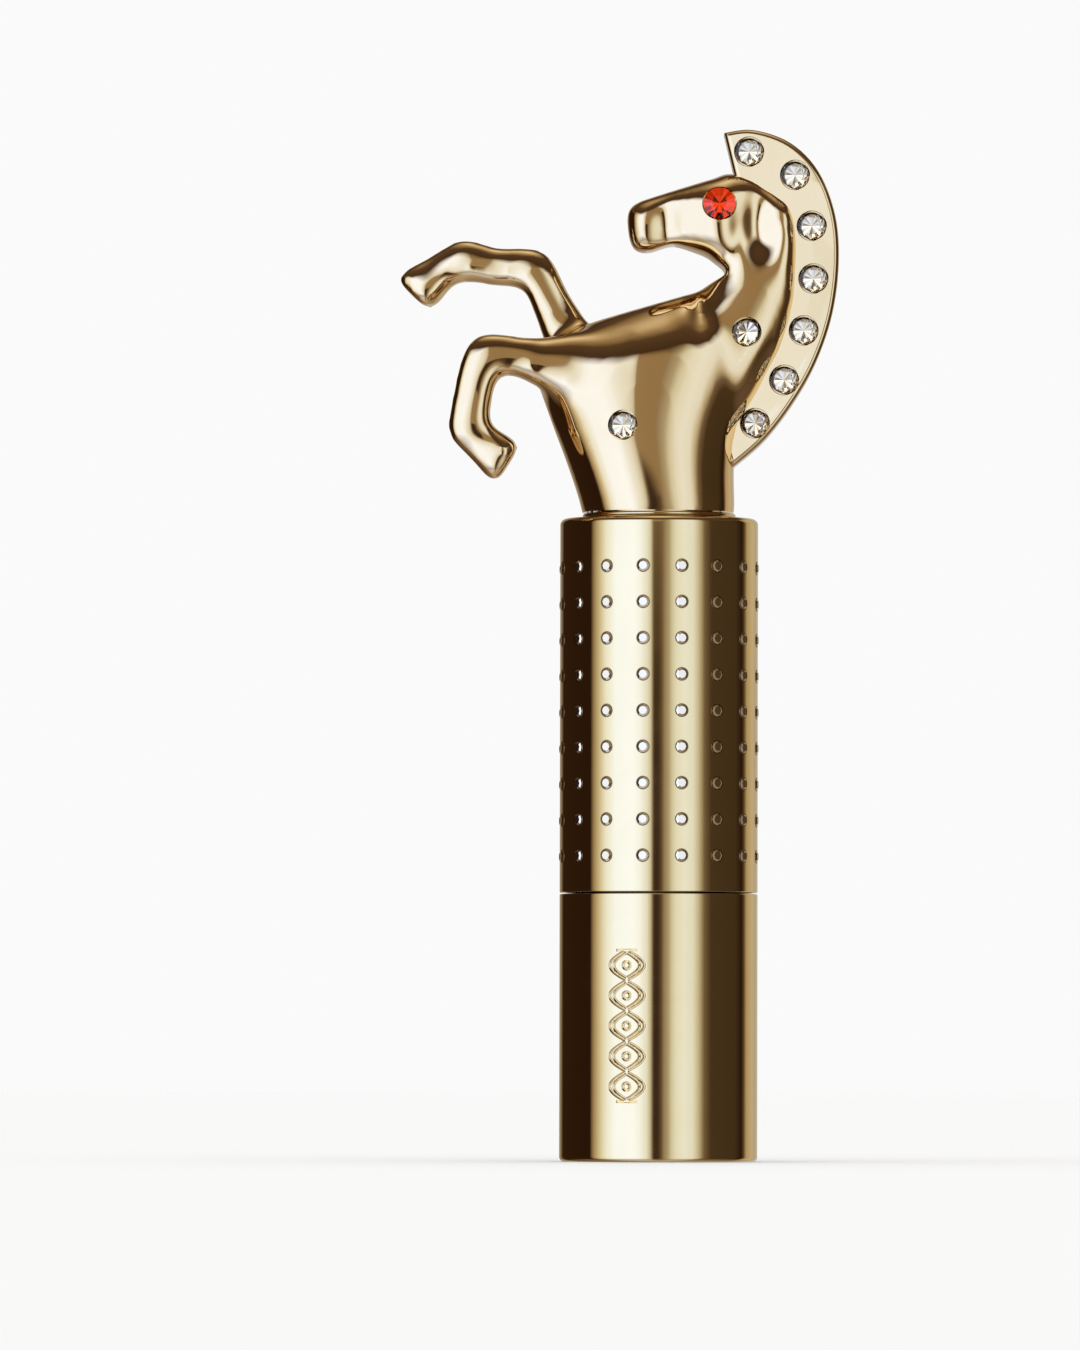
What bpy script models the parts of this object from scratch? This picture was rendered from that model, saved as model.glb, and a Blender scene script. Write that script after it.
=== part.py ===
"""A lipstick case with a rearing-horse finial: base, twist-up mechanism and pull-off cap.

Frame: metres, +Z up, the foot of the base at z = 0 and the case's axis on the Z axis.
The horse faces -X, and its flank that carries the ornament faces -Y.
Meshes are drawn in millimetres and brought to metres when they become objects.
"""

import math

import bmesh
import bpy
from mathutils import Matrix, Vector
from mathutils.bvhtree import BVHTree

MM = 0.001
SEGMENTS = 36
FINE_SEGMENTS = 12
STONE_SIDES = 10

# Case
CASE_R = 11.25
SHELL_WALL = 0.6
LINER_R = 10.5
BASE_TOP = 30.5
CAP_TOP = 73.0
SEAM = 0.15
BASE_EDGE_R = 0.5
CAP_EDGE_R = 0.7

# Gaps between parts that sit together, and between closer fits
GAP = 0.15
CLOSE_GAP = 0.12

# Label recess and weight under the base
LABEL_R = 7.0
LABEL_RECESS = 0.35
LABEL_T = 0.2
WEIGHT_TOP = 5.8

# Twist-up mechanism, from the bullet outwards
BULLET_R = 6.05
BULLET_BOTTOM = 28.0
BULLET_TIP = 61.0
OGIVE_LENGTH = 13.0
OGIVE_R = 24.7
FACET_SLOPE = math.radians(42)
FACET_HEADING = math.radians(-59.6)
CARRIER_R = 6.5
CARRIER_INNER_R = 6.2
CARRIER_BOTTOM = 26.8
CARRIER_TOP = 37.0
LUG_Z = 28.6
LUG_R = 0.8
LUG_REACH = 7.45
GUIDE_INNER_R = 6.65
GUIDE_R = 7.05
GUIDE_BOTTOM = 7.1
GUIDE_SOCKET_TOP = 11.5
DRAG_TOP = 12.8
GUIDE_TOP = 60.0
SPIRAL_INNER_R = 7.2
SPIRAL_R = 7.8
SPIRAL_BOTTOM = 20.0
SPIRAL_TOP = 56.0
GROOVE_R = 7.62
GROOVE_WIDTH = 2.4
GROOVE_OVERRUN_STEPS = 2.5
LEAD = 12.0
TURNS = 1.5
SLEEVE_R = 8.45
SLEEVE_INNER_R = 7.95
SLEEVE_BOTTOM = 13.0
SLEEVE_TOP = 62.9
SLEEVE_LIP_R = 6.5
SLEEVE_LIP = 0.5

# Cap fittings and the horse's hollow spigot
CAP_LINER_BORE = 8.6
CAP_ROOM_R = 9.6
CAP_ROOM_BOTTOM = 64.0
CAP_LINER_ROOF = 71.4
SPIGOT_R = 7.0
SPIGOT_BORE = 6.35
SPIGOT_HOLE_R = 7.15
SPIGOT_BOTTOM = 69.0
WELL_TOP = 79.6
RING_R = 8.7
RING_TOP = 73.6
PIN_R = 0.35
PIN_X = 7.85

# Horse
HORSE_FOOT = RING_TOP + CLOSE_GAP
HORSE_VOXEL = 0.6
HORSE_SOFTENING = 6
HORSE_FACES_KEPT = 0.13
MANE_HALF = 3.5
MANE_RIM = 0.6
STONE_R = 1.6
EYE_R = 1.9
SEAT_GAP = 0.15
SEAT_DEPTH = 1.5

# Sections of the body: centre x and z, half length, half width across, slope in degrees
TORSO = [
    (-0.1, 73.2, 8.55, 8.5, 0),
    (-0.1, 74.6, 8.75, 8.5, 0),
    (-1.0, 79.5, 9.4, 8.3, 0),
    (-1.4, 84.0, 10.6, 8.2, 0),
    (-1.1, 88.5, 12.2, 8.0, 3),
    (-0.9, 91.8, 13.2, 7.6, 6),
    (-1.0, 94.3, 12.9, 6.6, 10),
    (-0.8, 96.3, 10.8, 4.8, 14),
    (-0.4, 97.6, 7.0, 2.6, 16),
]
NECK = [
    (1.2, 84.0, 8.4, 7.4, 8),
    (3.0, 87.0, 8.8, 7.6, 8),
    (4.4, 90.0, 8.9, 7.5, 10),
    (6.4, 93.0, 8.9, 7.2, 12),
    (8.9, 96.8, 7.6, 6.6, 14),
    (11.1, 100.2, 5.6, 5.9, 10),
    (12.0, 103.5, 5.0, 5.4, 2),
    (11.8, 106.8, 5.2, 5.2, -8),
    (11.0, 109.4, 4.6, 4.8, -16),
    (10.4, 111.4, 2.9, 3.6, -22),
]
HEAD = [
    (11.0, 107.2, 4.2, 4.3, 90),
    (8.6, 106.9, 5.0, 4.9, 92),
    (6.4, 106.9, 4.7, 4.9, 97),
    (4.1, 107.0, 3.85, 4.3, 102),
    (1.8, 107.0, 3.2, 3.6, 103),
    (-0.4, 106.5, 3.0, 3.1, 102),
    (-2.2, 106.1, 2.75, 2.8, 100),
    (-3.4, 105.9, 1.8, 1.9, 98),
]
FAR_LEG = [
    (-9.4, 91.6, 2.9, 2.6, 25),
    (-10.9, 94.8, 2.4, 2.1, 28),
    (-12.5, 98.2, 2.0, 1.8, 34),
    (-14.1, 101.2, 2.2, 1.85, 60),
    (-16.5, 101.7, 2.0, 1.7, 86),
    (-18.5, 101.8, 1.9, 1.6, 90),
    (-20.5, 102.2, 2.05, 1.7, 85),
    (-22.5, 102.5, 2.15, 1.8, 92),
    (-24.2, 101.9, 1.9, 1.6, 110),
    (-25.6, 100.9, 1.95, 1.75, 128),
    (-26.9, 99.8, 2.3, 2.0, 135),
    (-28.0, 98.8, 2.2, 1.9, 136),
]
NEAR_LEG = [
    (-6.5, 89.6, 4.4, 2.2, 90),
    (-10.4, 90.0, 3.8, 2.7, 90),
    (-13.2, 90.4, 2.9, 2.4, 92),
    (-15.4, 91.0, 2.1, 1.9, 92),
    (-17.5, 91.5, 1.95, 1.8, 88),
    (-19.5, 91.4, 2.35, 1.85, 125),
    (-20.6, 89.4, 2.0, 1.7, 160),
    (-21.1, 87.2, 1.95, 1.6, 172),
    (-21.5, 85.0, 2.0, 1.65, 176),
    (-21.5, 83.2, 2.1, 1.8, 195),
    (-20.6, 82.0, 1.95, 1.6, 222),
    (-19.4, 80.9, 2.1, 1.75, 236),
    (-18.2, 79.9, 2.35, 2.0, 238),
    (-17.3, 79.2, 2.25, 1.9, 238),
]
LEG_SETBACK = 4.2

# Crest plate seen from the side, as corner points of two smooth runs
CREST_OUTER = [
    (7.3, 116.9), (10.6, 117.2), (14.8, 115.7), (18.0, 112.4), (19.9, 107.4), (20.3, 102.0),
    (19.6, 96.3), (17.9, 91.1), (15.4, 86.5), (12.0, 82.0), (8.2, 78.7),
]
CREST_INNER = [(7.5, 80.8), (8.2, 83.8), (8.6, 86.4), (8.8, 90.0), (8.6, 96.0), (10.0, 104.0), (8.6, 111.5)]
CREST_STONES = [
    (10.1, 114.7), (15.3, 112.0), (17.2, 106.2), (17.4, 100.2), (16.3, 94.3), (14.1, 88.7), (10.8, 83.8),
]
BODY_STONES = [(9.9, 94.0), (-4.3, 83.3)]
EYE = (6.7, 108.8)


# ---------------------------------------------------------------- shared helpers

def clear_scene():
    for old in list(bpy.data.objects):
        bpy.data.objects.remove(old)


def material(name, colour, metallic, roughness, transmission=0.0):
    made = bpy.data.materials.new(name)
    made.use_nodes = True
    shader = made.node_tree.nodes["Principled BSDF"]
    shader.inputs["Base Color"].default_value = (*colour, 1.0)
    shader.inputs["Metallic"].default_value = metallic
    shader.inputs["Roughness"].default_value = roughness
    shader.inputs["Transmission Weight"].default_value = transmission
    return made


def make_object(name, bm, look, parent=None, smooth=True):
    """Turn a millimetre bmesh into a named object in metres."""
    bmesh.ops.remove_doubles(bm, verts=bm.verts, dist=1e-4)
    bmesh.ops.recalc_face_normals(bm, faces=bm.faces)
    bmesh.ops.scale(bm, verts=bm.verts, vec=(MM, MM, MM))
    mesh = bpy.data.meshes.new(name)
    bm.to_mesh(mesh)
    bm.free()
    made = bpy.data.objects.new(name, mesh)
    bpy.context.scene.collection.objects.link(made)
    if look is not None:
        mesh.materials.append(look)
    if smooth:
        mesh.shade_smooth()
        mesh.set_sharp_from_angle(angle=math.radians(35))
    made.parent = parent
    return made


def arc(centre_r, centre_z, radius, start, stop, steps=3):
    """Points of a quarter or part circle in the (r, z) plane, angles in degrees."""
    angles = [math.radians(start + (stop - start) * i / steps) for i in range(steps + 1)]
    return [(centre_r + radius * math.cos(a), centre_z + radius * math.sin(a)) for a in angles]


def turned(profile, segments=SEGMENTS, close=True):
    """Spin an (r, z) profile about the Z axis; an open profile starts and ends on the axis."""
    bm = bmesh.new()
    verts = [bm.verts.new((r, 0.0, z)) for r, z in profile]
    pairs = list(zip(verts, verts[1:]))
    if close:
        pairs.append((verts[-1], verts[0]))
    edges = [bm.edges.new(pair) for pair in pairs]
    bmesh.ops.spin(bm, geom=verts + edges, cent=(0, 0, 0), axis=(0, 0, 1), angle=math.tau,
                   steps=segments, use_merge=True)
    bmesh.ops.remove_doubles(bm, verts=bm.verts, dist=1e-4)
    bmesh.ops.recalc_face_normals(bm, faces=bm.faces)
    return bm


def ring(inner_r, outer_r, bottom, top):
    return turned([(inner_r, bottom), (outer_r, bottom), (outer_r, top), (inner_r, top)])


def cylinder(radius, depth, place, segments=FINE_SEGMENTS, top_radius=None):
    bm = bmesh.new()
    top = radius if top_radius is None else top_radius
    bmesh.ops.create_cone(bm, cap_ends=True, segments=segments, radius1=radius, radius2=top,
                          depth=depth, matrix=place)
    return bm


def cut(target, cutters, operation="DIFFERENCE"):
    """Apply Boolean cutters at once, and drop them."""
    for cutter in cutters:
        step = target.modifiers.new("cut", "BOOLEAN")
        step.operation = operation
        step.object = cutter
    apply_modifiers(target)
    for cutter in cutters:
        bpy.data.objects.remove(cutter)


def apply_modifiers(target):
    bpy.context.view_layer.update()
    graph = bpy.context.evaluated_depsgraph_get()
    result = bpy.data.meshes.new_from_object(target.evaluated_get(graph))
    target.modifiers.clear()
    target.data = result


def facing(place, direction):
    """Matrix that stands a Z-axis shape at place with its top towards direction."""
    return Matrix.Translation(place) @ Vector(direction).to_track_quat("Z", "Y").to_matrix().to_4x4()


# ---------------------------------------------------------------- base

def build_base(looks):
    inner = CASE_R - SHELL_WALL
    profile = [(0, LABEL_RECESS), (LABEL_R + 0.2, LABEL_RECESS), (LABEL_R + 0.2, 0)]
    profile += arc(CASE_R - BASE_EDGE_R, BASE_EDGE_R, BASE_EDGE_R, -90, 0)
    profile += [(CASE_R, BASE_TOP - SEAM), (inner, BASE_TOP - SEAM), (inner, SHELL_WALL)]
    profile += [(LABEL_R - 0.4, SHELL_WALL), (LABEL_R - 0.9, SHELL_WALL + LABEL_RECESS)]
    profile += [(0, SHELL_WALL + LABEL_RECESS)]
    make_object("base_shell", turned(profile, close=False), looks["gold"])

    make_object("shade_label", turned([(0, 0), (LABEL_R, 0), (LABEL_R, LABEL_T), (0, LABEL_T)], close=False),
                looks["label"])

    floor = SHELL_WALL + LABEL_RECESS + GAP
    make_object("base_weight", turned([(0, floor), (LINER_R, floor), (LINER_R, WEIGHT_TOP), (0, WEIGHT_TOP)],
                                      close=False), looks["steel"])

    bottom = WEIGHT_TOP + GAP
    bore = SLEEVE_R + 0.2
    socket = GUIDE_R + CLOSE_GAP
    socket_floor = GUIDE_BOTTOM - CLOSE_GAP
    profile = [(0, bottom), (LINER_R, bottom), (LINER_R, BASE_TOP - 0.5), (bore, BASE_TOP - 0.5)]
    profile += [(bore, GUIDE_SOCKET_TOP), (socket, GUIDE_SOCKET_TOP), (socket, socket_floor), (0, socket_floor)]
    make_object("base_liner", turned(profile, close=False), looks["plastic"])

    make_object("drag_ring", ring(GUIDE_R + 0.2, SLEEVE_R - 0.1, GUIDE_SOCKET_TOP + GAP, DRAG_TOP),
                looks["rubber"])

    tube = make_object("guide_tube", ring(GUIDE_INNER_R, GUIDE_R, GUIDE_BOTTOM, GUIDE_TOP), looks["plastic"])
    slot = bmesh.new()
    travel = LEAD * TURNS
    bmesh.ops.create_cube(slot, size=1.0)
    bmesh.ops.scale(slot, verts=slot.verts, vec=(20.0, 2 * LUG_R + 0.5, travel + 2 * LUG_R + 1.0))
    bmesh.ops.translate(slot, verts=slot.verts, vec=(0, 0, LUG_Z + travel / 2))
    cut(tube, [make_object("slot_cutter", slot, None)])


# ---------------------------------------------------------------- turning sleeve

def spiral_cutter(start_angle):
    """A band that climbs one lead for each clockwise turn, along the path of one lug."""
    overrun = GROOVE_OVERRUN_STEPS / SEGMENTS
    turns = TURNS + 2 * overrun
    steps = round(SEGMENTS * turns)
    bm = bmesh.new()
    low = LUG_Z - LEAD * overrun - GROOVE_WIDTH / 2
    high = low + GROOVE_WIDTH
    start_r = SPIRAL_INNER_R - 0.2
    corners = [(start_r, low), (GROOVE_R, low), (GROOVE_R, high), (start_r, high)]
    first = bm.faces.new([bm.verts.new((r, 0, z)) for r, z in corners])
    bmesh.ops.spin(bm, geom=[first] + first.edges[:] + first.verts[:], cent=(0, 0, 0), axis=(0, 0, -1),
                   dvec=(0, 0, LEAD * turns / steps), angle=math.tau * turns, steps=steps)
    turn = Matrix.Rotation(start_angle + math.tau * overrun, 3, "Z")
    bmesh.ops.rotate(bm, verts=bm.verts, cent=(0, 0, 0), matrix=turn)
    return make_object("groove_cutter", bm, None)


def build_sleeve(pivot, looks):
    spiral = make_object("spiral_sleeve", ring(SPIRAL_INNER_R, SPIRAL_R, SPIRAL_BOTTOM, SPIRAL_TOP),
                         looks["plastic"], pivot)
    cut(spiral, [spiral_cutter(0.0), spiral_cutter(math.pi)])

    under_lip = SLEEVE_TOP - SLEEVE_LIP
    profile = [(SLEEVE_INNER_R, SLEEVE_BOTTOM), (SLEEVE_R, SLEEVE_BOTTOM)]
    profile += arc(SLEEVE_R - SLEEVE_LIP, under_lip, SLEEVE_LIP, 0, 90)
    profile += [(SLEEVE_LIP_R, SLEEVE_TOP), (SLEEVE_LIP_R, under_lip), (SLEEVE_INNER_R, under_lip)]
    make_object("black_sleeve", turned(profile), looks["black"], pivot)


# ---------------------------------------------------------------- carrier and bullet

def build_carrier(slider, looks):
    floor = BULLET_BOTTOM - GAP
    profile = [(0, CARRIER_BOTTOM), (CARRIER_R, CARRIER_BOTTOM), (CARRIER_R, CARRIER_TOP)]
    profile += [(CARRIER_INNER_R, CARRIER_TOP), (CARRIER_INNER_R, floor), (0, floor)]
    cup = make_object("carrier_cup", turned(profile, close=False), looks["plastic"], slider)
    lugs = []
    for side in (1, -1):
        length = LUG_REACH - CARRIER_INNER_R - 0.1
        middle = (side * (LUG_REACH - length / 2), 0, LUG_Z)
        lug = cylinder(LUG_R, length, facing(middle, (side, 0, 0)))
        lugs.append(make_object("lug", lug, None))
    cut(cup, lugs, "UNION")

    profile = [(0, BULLET_BOTTOM), (BULLET_R - 0.3, BULLET_BOTTOM), (BULLET_R, BULLET_BOTTOM + 0.3)]
    height = math.sqrt(OGIVE_R ** 2 - (OGIVE_R - BULLET_R) ** 2)
    steps = 8
    for i in range(steps + 1):
        rise = height * i / steps
        radius = math.sqrt(OGIVE_R ** 2 - rise ** 2) - (OGIVE_R - BULLET_R)
        profile.append((max(radius, 0.0), BULLET_TIP - OGIVE_LENGTH + rise))
    bm = turned(profile, close=False)
    heading = Vector((math.cos(FACET_HEADING), math.sin(FACET_HEADING), 0))
    normal = heading * math.sin(FACET_SLOPE) + Vector((0, 0, math.cos(FACET_SLOPE)))
    tip_radius = math.sqrt(OGIVE_R ** 2 - OGIVE_LENGTH ** 2) - (OGIVE_R - BULLET_R)
    high_point = Vector((0, 0, BULLET_TIP)) - heading * tip_radius
    cut_edges = bmesh.ops.bisect_plane(bm, geom=bm.verts[:] + bm.edges[:] + bm.faces[:], dist=1e-4,
                                       plane_co=high_point, plane_no=normal, clear_outer=True)
    rim = [part for part in cut_edges["geom_cut"] if isinstance(part, bmesh.types.BMEdge)]
    bmesh.ops.contextual_create(bm, geom=rim)
    make_object("bullet", bm, looks["bullet"], slider)


# ---------------------------------------------------------------- cap

def pin_hole(bottom, top):
    place = Matrix.Translation((-PIN_X, 0, (bottom + top) / 2))
    return make_object("pin_cutter", cylinder(PIN_R + GAP, top - bottom, place), None)


def build_cap(puller, looks):
    inner = CASE_R - SHELL_WALL
    edge = CAP_EDGE_R
    profile = [(inner, BASE_TOP), (CASE_R, BASE_TOP)]
    profile += arc(CASE_R - edge, CAP_TOP - edge, edge, 0, 90)
    profile += [(SPIGOT_HOLE_R, CAP_TOP), (SPIGOT_HOLE_R, CAP_TOP - SHELL_WALL), (inner, CAP_TOP - SHELL_WALL)]
    shell = make_object("cap_shell", turned(profile), looks["gold"], puller)
    cut(shell, [pin_hole(CAP_TOP - 2, CAP_TOP + 2)])

    roof_top = CAP_TOP - SHELL_WALL - GAP
    profile = [(CAP_LINER_BORE, BASE_TOP + 0.6), (LINER_R, BASE_TOP + 0.6), (LINER_R, roof_top)]
    profile += [(SPIGOT_HOLE_R, roof_top), (SPIGOT_HOLE_R, CAP_LINER_ROOF), (CAP_ROOM_R, CAP_LINER_ROOF)]
    profile += [(CAP_ROOM_R, CAP_ROOM_BOTTOM), (CAP_LINER_BORE, CAP_ROOM_BOTTOM - 1.0)]
    liner = make_object("cap_liner", turned(profile), looks["plastic"], puller)
    cut(liner, [pin_hole(CAP_LINER_ROOF - 1, CAP_TOP)])

    low = CAP_TOP + CLOSE_GAP
    profile = [(SPIGOT_HOLE_R, low), (RING_R - 0.2, low), (RING_R, low + 0.2), (RING_R - 0.2, RING_TOP)]
    profile += [(SPIGOT_HOLE_R, RING_TOP)]
    collar = make_object("neck_ring", turned(profile), looks["gold"], puller)
    cut(collar, [pin_hole(CAP_TOP - 1, RING_TOP + 1)])

    washer_top = CAP_LINER_ROOF - CLOSE_GAP
    make_object("lock_washer", ring(SPIGOT_HOLE_R, 9.0, washer_top - 0.35, washer_top), looks["steel"], puller)
    nut_top = washer_top - 0.45
    make_object("ring_nut", ring(SPIGOT_HOLE_R, 8.6, nut_top - 1.4, nut_top), looks["brass"], puller)

    pin_bottom = CAP_LINER_ROOF + 0.05
    pin_top = HORSE_FOOT + 1.3
    place = Matrix.Translation((-PIN_X, 0, (pin_bottom + pin_top) / 2))
    make_object("locating_pin", cylinder(PIN_R, pin_top - pin_bottom, place, 10), looks["steel"], puller)


# ---------------------------------------------------------------- horse finial

def loft(stations, across=0.0, sides=16):
    """Bridge elliptical sections; each is (x, z, half length, half width, slope in degrees)."""
    bm = bmesh.new()
    loops = []
    for x, z, half_height, half_width, slope in stations:
        made = bmesh.ops.create_circle(bm, segments=sides, radius=1.0)
        bmesh.ops.scale(bm, verts=made["verts"], vec=(half_height, half_width, 1.0))
        tilt = Matrix.Rotation(-math.radians(slope), 3, "Y")
        bmesh.ops.rotate(bm, verts=made["verts"], cent=(0, 0, 0), matrix=tilt)
        bmesh.ops.translate(bm, verts=made["verts"], vec=(x, across, z))
        loops.append(made["verts"])
    for lower, upper in zip(loops, loops[1:]):
        edges = [e for e in bm.edges if all(v in lower for v in e.verts) or all(v in upper for v in e.verts)]
        bmesh.ops.bridge_loops(bm, edges=edges)
    for end in (loops[0], loops[-1]):
        bmesh.ops.contextual_create(bm, geom=[e for e in bm.edges if all(v in end for v in e.verts)])
    bmesh.ops.recalc_face_normals(bm, faces=bm.faces)
    return bm


def join_meshes(parts):
    whole = bmesh.new()
    for part in parts:
        mesh = bpy.data.meshes.new("part")
        part.to_mesh(mesh)
        part.free()
        whole.from_mesh(mesh)
        bpy.data.meshes.remove(mesh)
    return whole


def smooth_run(points, steps):
    """Points of a smooth open curve through the given ones."""
    run = []
    for i in range(len(points) - 1):
        before = Vector(points[max(i - 1, 0)])
        start, stop = Vector(points[i]), Vector(points[i + 1])
        after = Vector(points[min(i + 2, len(points) - 1)])
        for step in range(steps):
            t = step / steps
            bend = (2 * before - 5 * start + 4 * stop - after) * t ** 2
            twist = (3 * (start - stop) + after - before) * t ** 3
            run.append((2 * start + (stop - before) * t + bend + twist) / 2)
    run.append(Vector(points[-1]))
    return run


def crest():
    """The flat mane plate, with a rounded rim."""
    outline = smooth_run(CREST_OUTER, 3) + smooth_run(CREST_INNER, 2)
    bm = bmesh.new()
    face = bm.faces.new([bm.verts.new((p.x, -MANE_HALF, p.y)) for p in outline])
    grown = bmesh.ops.extrude_face_region(bm, geom=[face])
    moved = [part for part in grown["geom"] if isinstance(part, bmesh.types.BMVert)]
    bmesh.ops.translate(bm, verts=moved, vec=(0, 2 * MANE_HALF, 0))
    rims = [e for e in bm.edges if abs(e.verts[0].co.y - e.verts[1].co.y) < 1e-6]
    bmesh.ops.bevel(bm, geom=rims, offset=MANE_RIM, offset_type="OFFSET", segments=1, profile=0.5,
                    affect="EDGES", material=-1)
    return bm


def surface_at(tree, x, z, side):
    """Where a line along Y meets the casting on one side, and the mean normal there."""
    hits = []
    reach = 0.8
    for dx, dz in ((0, 0), (reach, 0), (-reach, 0), (0, reach), (0, -reach)):
        start = Vector(((x + dx) * MM, side * 30 * MM, (z + dz) * MM))
        place, normal, _, _ = tree.ray_cast(start, Vector((0, -side, 0)))
        hits.append((place, normal))
    normal = sum((n for _, n in hits), Vector()).normalized()
    return hits[0][0] / MM, normal


def stone(name, place, normal, radius, look, puller):
    """A round faceted stone: table, crown, girdle and pointed pavilion."""
    crown, girdle, pavilion = 0.25 * radius, 0.12 * radius, 0.6 * radius
    bm = turned([(0, crown), (0.6 * radius, crown), (radius, 0), (radius, -girdle),
                 (0, -girdle - pavilion)], STONE_SIDES, close=False)
    bmesh.ops.transform(bm, verts=bm.verts, matrix=facing(place, normal))
    make_object(name, bm, look, puller, smooth=False)


def build_horse(puller, looks):
    legs = [loft(FAR_LEG, LEG_SETBACK, 12), loft(NEAR_LEG, -LEG_SETBACK, 12)]
    blank = join_meshes([loft(TORSO, sides=28), loft(NECK, sides=24), loft(HEAD, sides=20)] + legs)
    horse = make_object("finial_horse", blank, looks["gold"], puller)
    skin = horse.modifiers.new("skin", "REMESH")
    skin.mode = "VOXEL"
    skin.voxel_size = HORSE_VOXEL * MM
    soften = horse.modifiers.new("soften", "SMOOTH")
    soften.factor = 0.5
    soften.iterations = HORSE_SOFTENING
    apply_modifiers(horse)
    cut(horse, [make_object("crest", crest(), None)], "UNION")
    thin = horse.modifiers.new("thin", "DECIMATE")
    thin.ratio = HORSE_FACES_KEPT
    apply_modifiers(horse)

    bpy.context.view_layer.update()
    tree = BVHTree.FromObject(horse, bpy.context.evaluated_depsgraph_get())
    places = [("crest_stone", x, z, STONE_R, "crystal") for x, z in CREST_STONES]
    places += [("body_stone", x, z, STONE_R, "crystal") for x, z in BODY_STONES]
    places += [("eye_stone", *EYE, EYE_R, "eye")]
    seats = []
    for side, word in ((-1, "near"), (1, "far")):
        for number, (kind, x, z, radius, look) in enumerate(places, 1):
            place, normal = surface_at(tree, x, z, side)
            if kind == "crest_stone":
                normal = Vector((0, side, 0))
            seat = cylinder(radius + SEAT_GAP, SEAT_DEPTH * 2, facing(place, normal), FINE_SEGMENTS)
            seats.append(make_object("seat_cutter", seat, None))
            stone(f"{kind}_{word}_{number}", place - normal * 0.1, normal, radius, looks[look], puller)

    level = bmesh.new()
    bmesh.ops.create_cube(level, size=1.0)
    bmesh.ops.scale(level, verts=level.verts, vec=(40, 40, 4))
    bmesh.ops.translate(level, verts=level.verts, vec=(0, 0, HORSE_FOOT - 2))
    cut(horse, [make_object("foot_cutter", level, None)] + seats)

    spigot = turned([(0, HORSE_FOOT + 1), (SPIGOT_R, HORSE_FOOT + 1), (SPIGOT_R, SPIGOT_BOTTOM), (0, SPIGOT_BOTTOM)],
                    close=False)
    cut(horse, [make_object("spigot", spigot, None)], "UNION")
    profile = [(0, SPIGOT_BOTTOM - 1), (SPIGOT_BORE, SPIGOT_BOTTOM - 1), (SPIGOT_BORE, WELL_TOP - 3.6)]
    profile += [(4.6, WELL_TOP), (0, WELL_TOP)]
    well = make_object("well", turned(profile, close=False), None)
    cut(horse, [well, pin_hole(HORSE_FOOT - 1, HORSE_FOOT + 1.5)])


# ---------------------------------------------------------------- whole case

def pivot_at(name, parent=None):
    empty = bpy.data.objects.new(name, None)
    bpy.context.scene.collection.objects.link(empty)
    empty.parent = parent
    return empty


def main():
    clear_scene()
    looks = {
        "gold": material("gold", (0.83, 0.66, 0.36), 1.0, 0.12),
        "black": material("black_lacquer", (0.012, 0.008, 0.006), 0.0, 0.35),
        "bullet": material("lip_colour", (0.36, 0.12, 0.09), 0.4, 0.45),
        "plastic": material("moulded_plastic", (0.78, 0.76, 0.72), 0.0, 0.45),
        "steel": material("steel", (0.55, 0.55, 0.56), 1.0, 0.35),
        "brass": material("brass", (0.72, 0.56, 0.28), 1.0, 0.3),
        "rubber": material("rubber", (0.03, 0.03, 0.03), 0.0, 0.7),
        "label": material("label", (0.85, 0.82, 0.76), 0.0, 0.5),
        "crystal": material("crystal", (0.92, 0.93, 0.95), 0.0, 0.03, 0.6),
        "eye": material("eye_crystal", (0.80, 0.12, 0.02), 0.0, 0.05, 0.5),
    }
    sleeve_pivot = pivot_at("sleeve_pivot")
    carrier_slider = pivot_at("carrier_slider")
    cap_puller = pivot_at("cap_puller", sleeve_pivot)
    build_base(looks)
    build_sleeve(sleeve_pivot, looks)
    build_carrier(carrier_slider, looks)
    build_cap(cap_puller, looks)
    build_horse(cap_puller, looks)


main()
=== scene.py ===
"""Looks of a gold lipstick case with a crystal-studded cap and a rearing horse finial.

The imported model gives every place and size. Meshes are drawn in millimetres in the model's own
frame (+Z up, the horse faces -X, the near flank faces -Y) and brought to metres when finished.
"""

import math

import bmesh
import bpy
from mathutils import Matrix, Vector
from mathutils.bvhtree import BVHTree


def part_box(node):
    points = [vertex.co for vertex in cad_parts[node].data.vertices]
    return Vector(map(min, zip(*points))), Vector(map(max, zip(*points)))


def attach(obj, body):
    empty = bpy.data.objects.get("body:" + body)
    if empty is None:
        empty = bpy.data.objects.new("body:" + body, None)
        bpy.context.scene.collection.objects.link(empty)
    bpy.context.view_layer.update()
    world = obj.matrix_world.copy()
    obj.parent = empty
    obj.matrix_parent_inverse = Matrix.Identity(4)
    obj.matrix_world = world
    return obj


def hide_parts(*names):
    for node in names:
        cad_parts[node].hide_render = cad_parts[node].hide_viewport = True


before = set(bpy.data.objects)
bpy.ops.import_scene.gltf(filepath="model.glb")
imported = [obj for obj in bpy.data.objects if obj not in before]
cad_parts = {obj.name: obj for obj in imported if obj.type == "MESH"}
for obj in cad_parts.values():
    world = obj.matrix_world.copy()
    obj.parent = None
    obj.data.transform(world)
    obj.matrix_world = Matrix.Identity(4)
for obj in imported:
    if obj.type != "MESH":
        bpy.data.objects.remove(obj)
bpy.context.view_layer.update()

MM = 0.001
ROUND = 160
UP = Vector((0, 0, 1))

# Shells, in millimetres as all sizes here
SHELL_WALL = 0.6
MOUTH_R = 0.12
CAP_HOLE_R = 7.15
RING_SEAT_R = 8.9

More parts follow.
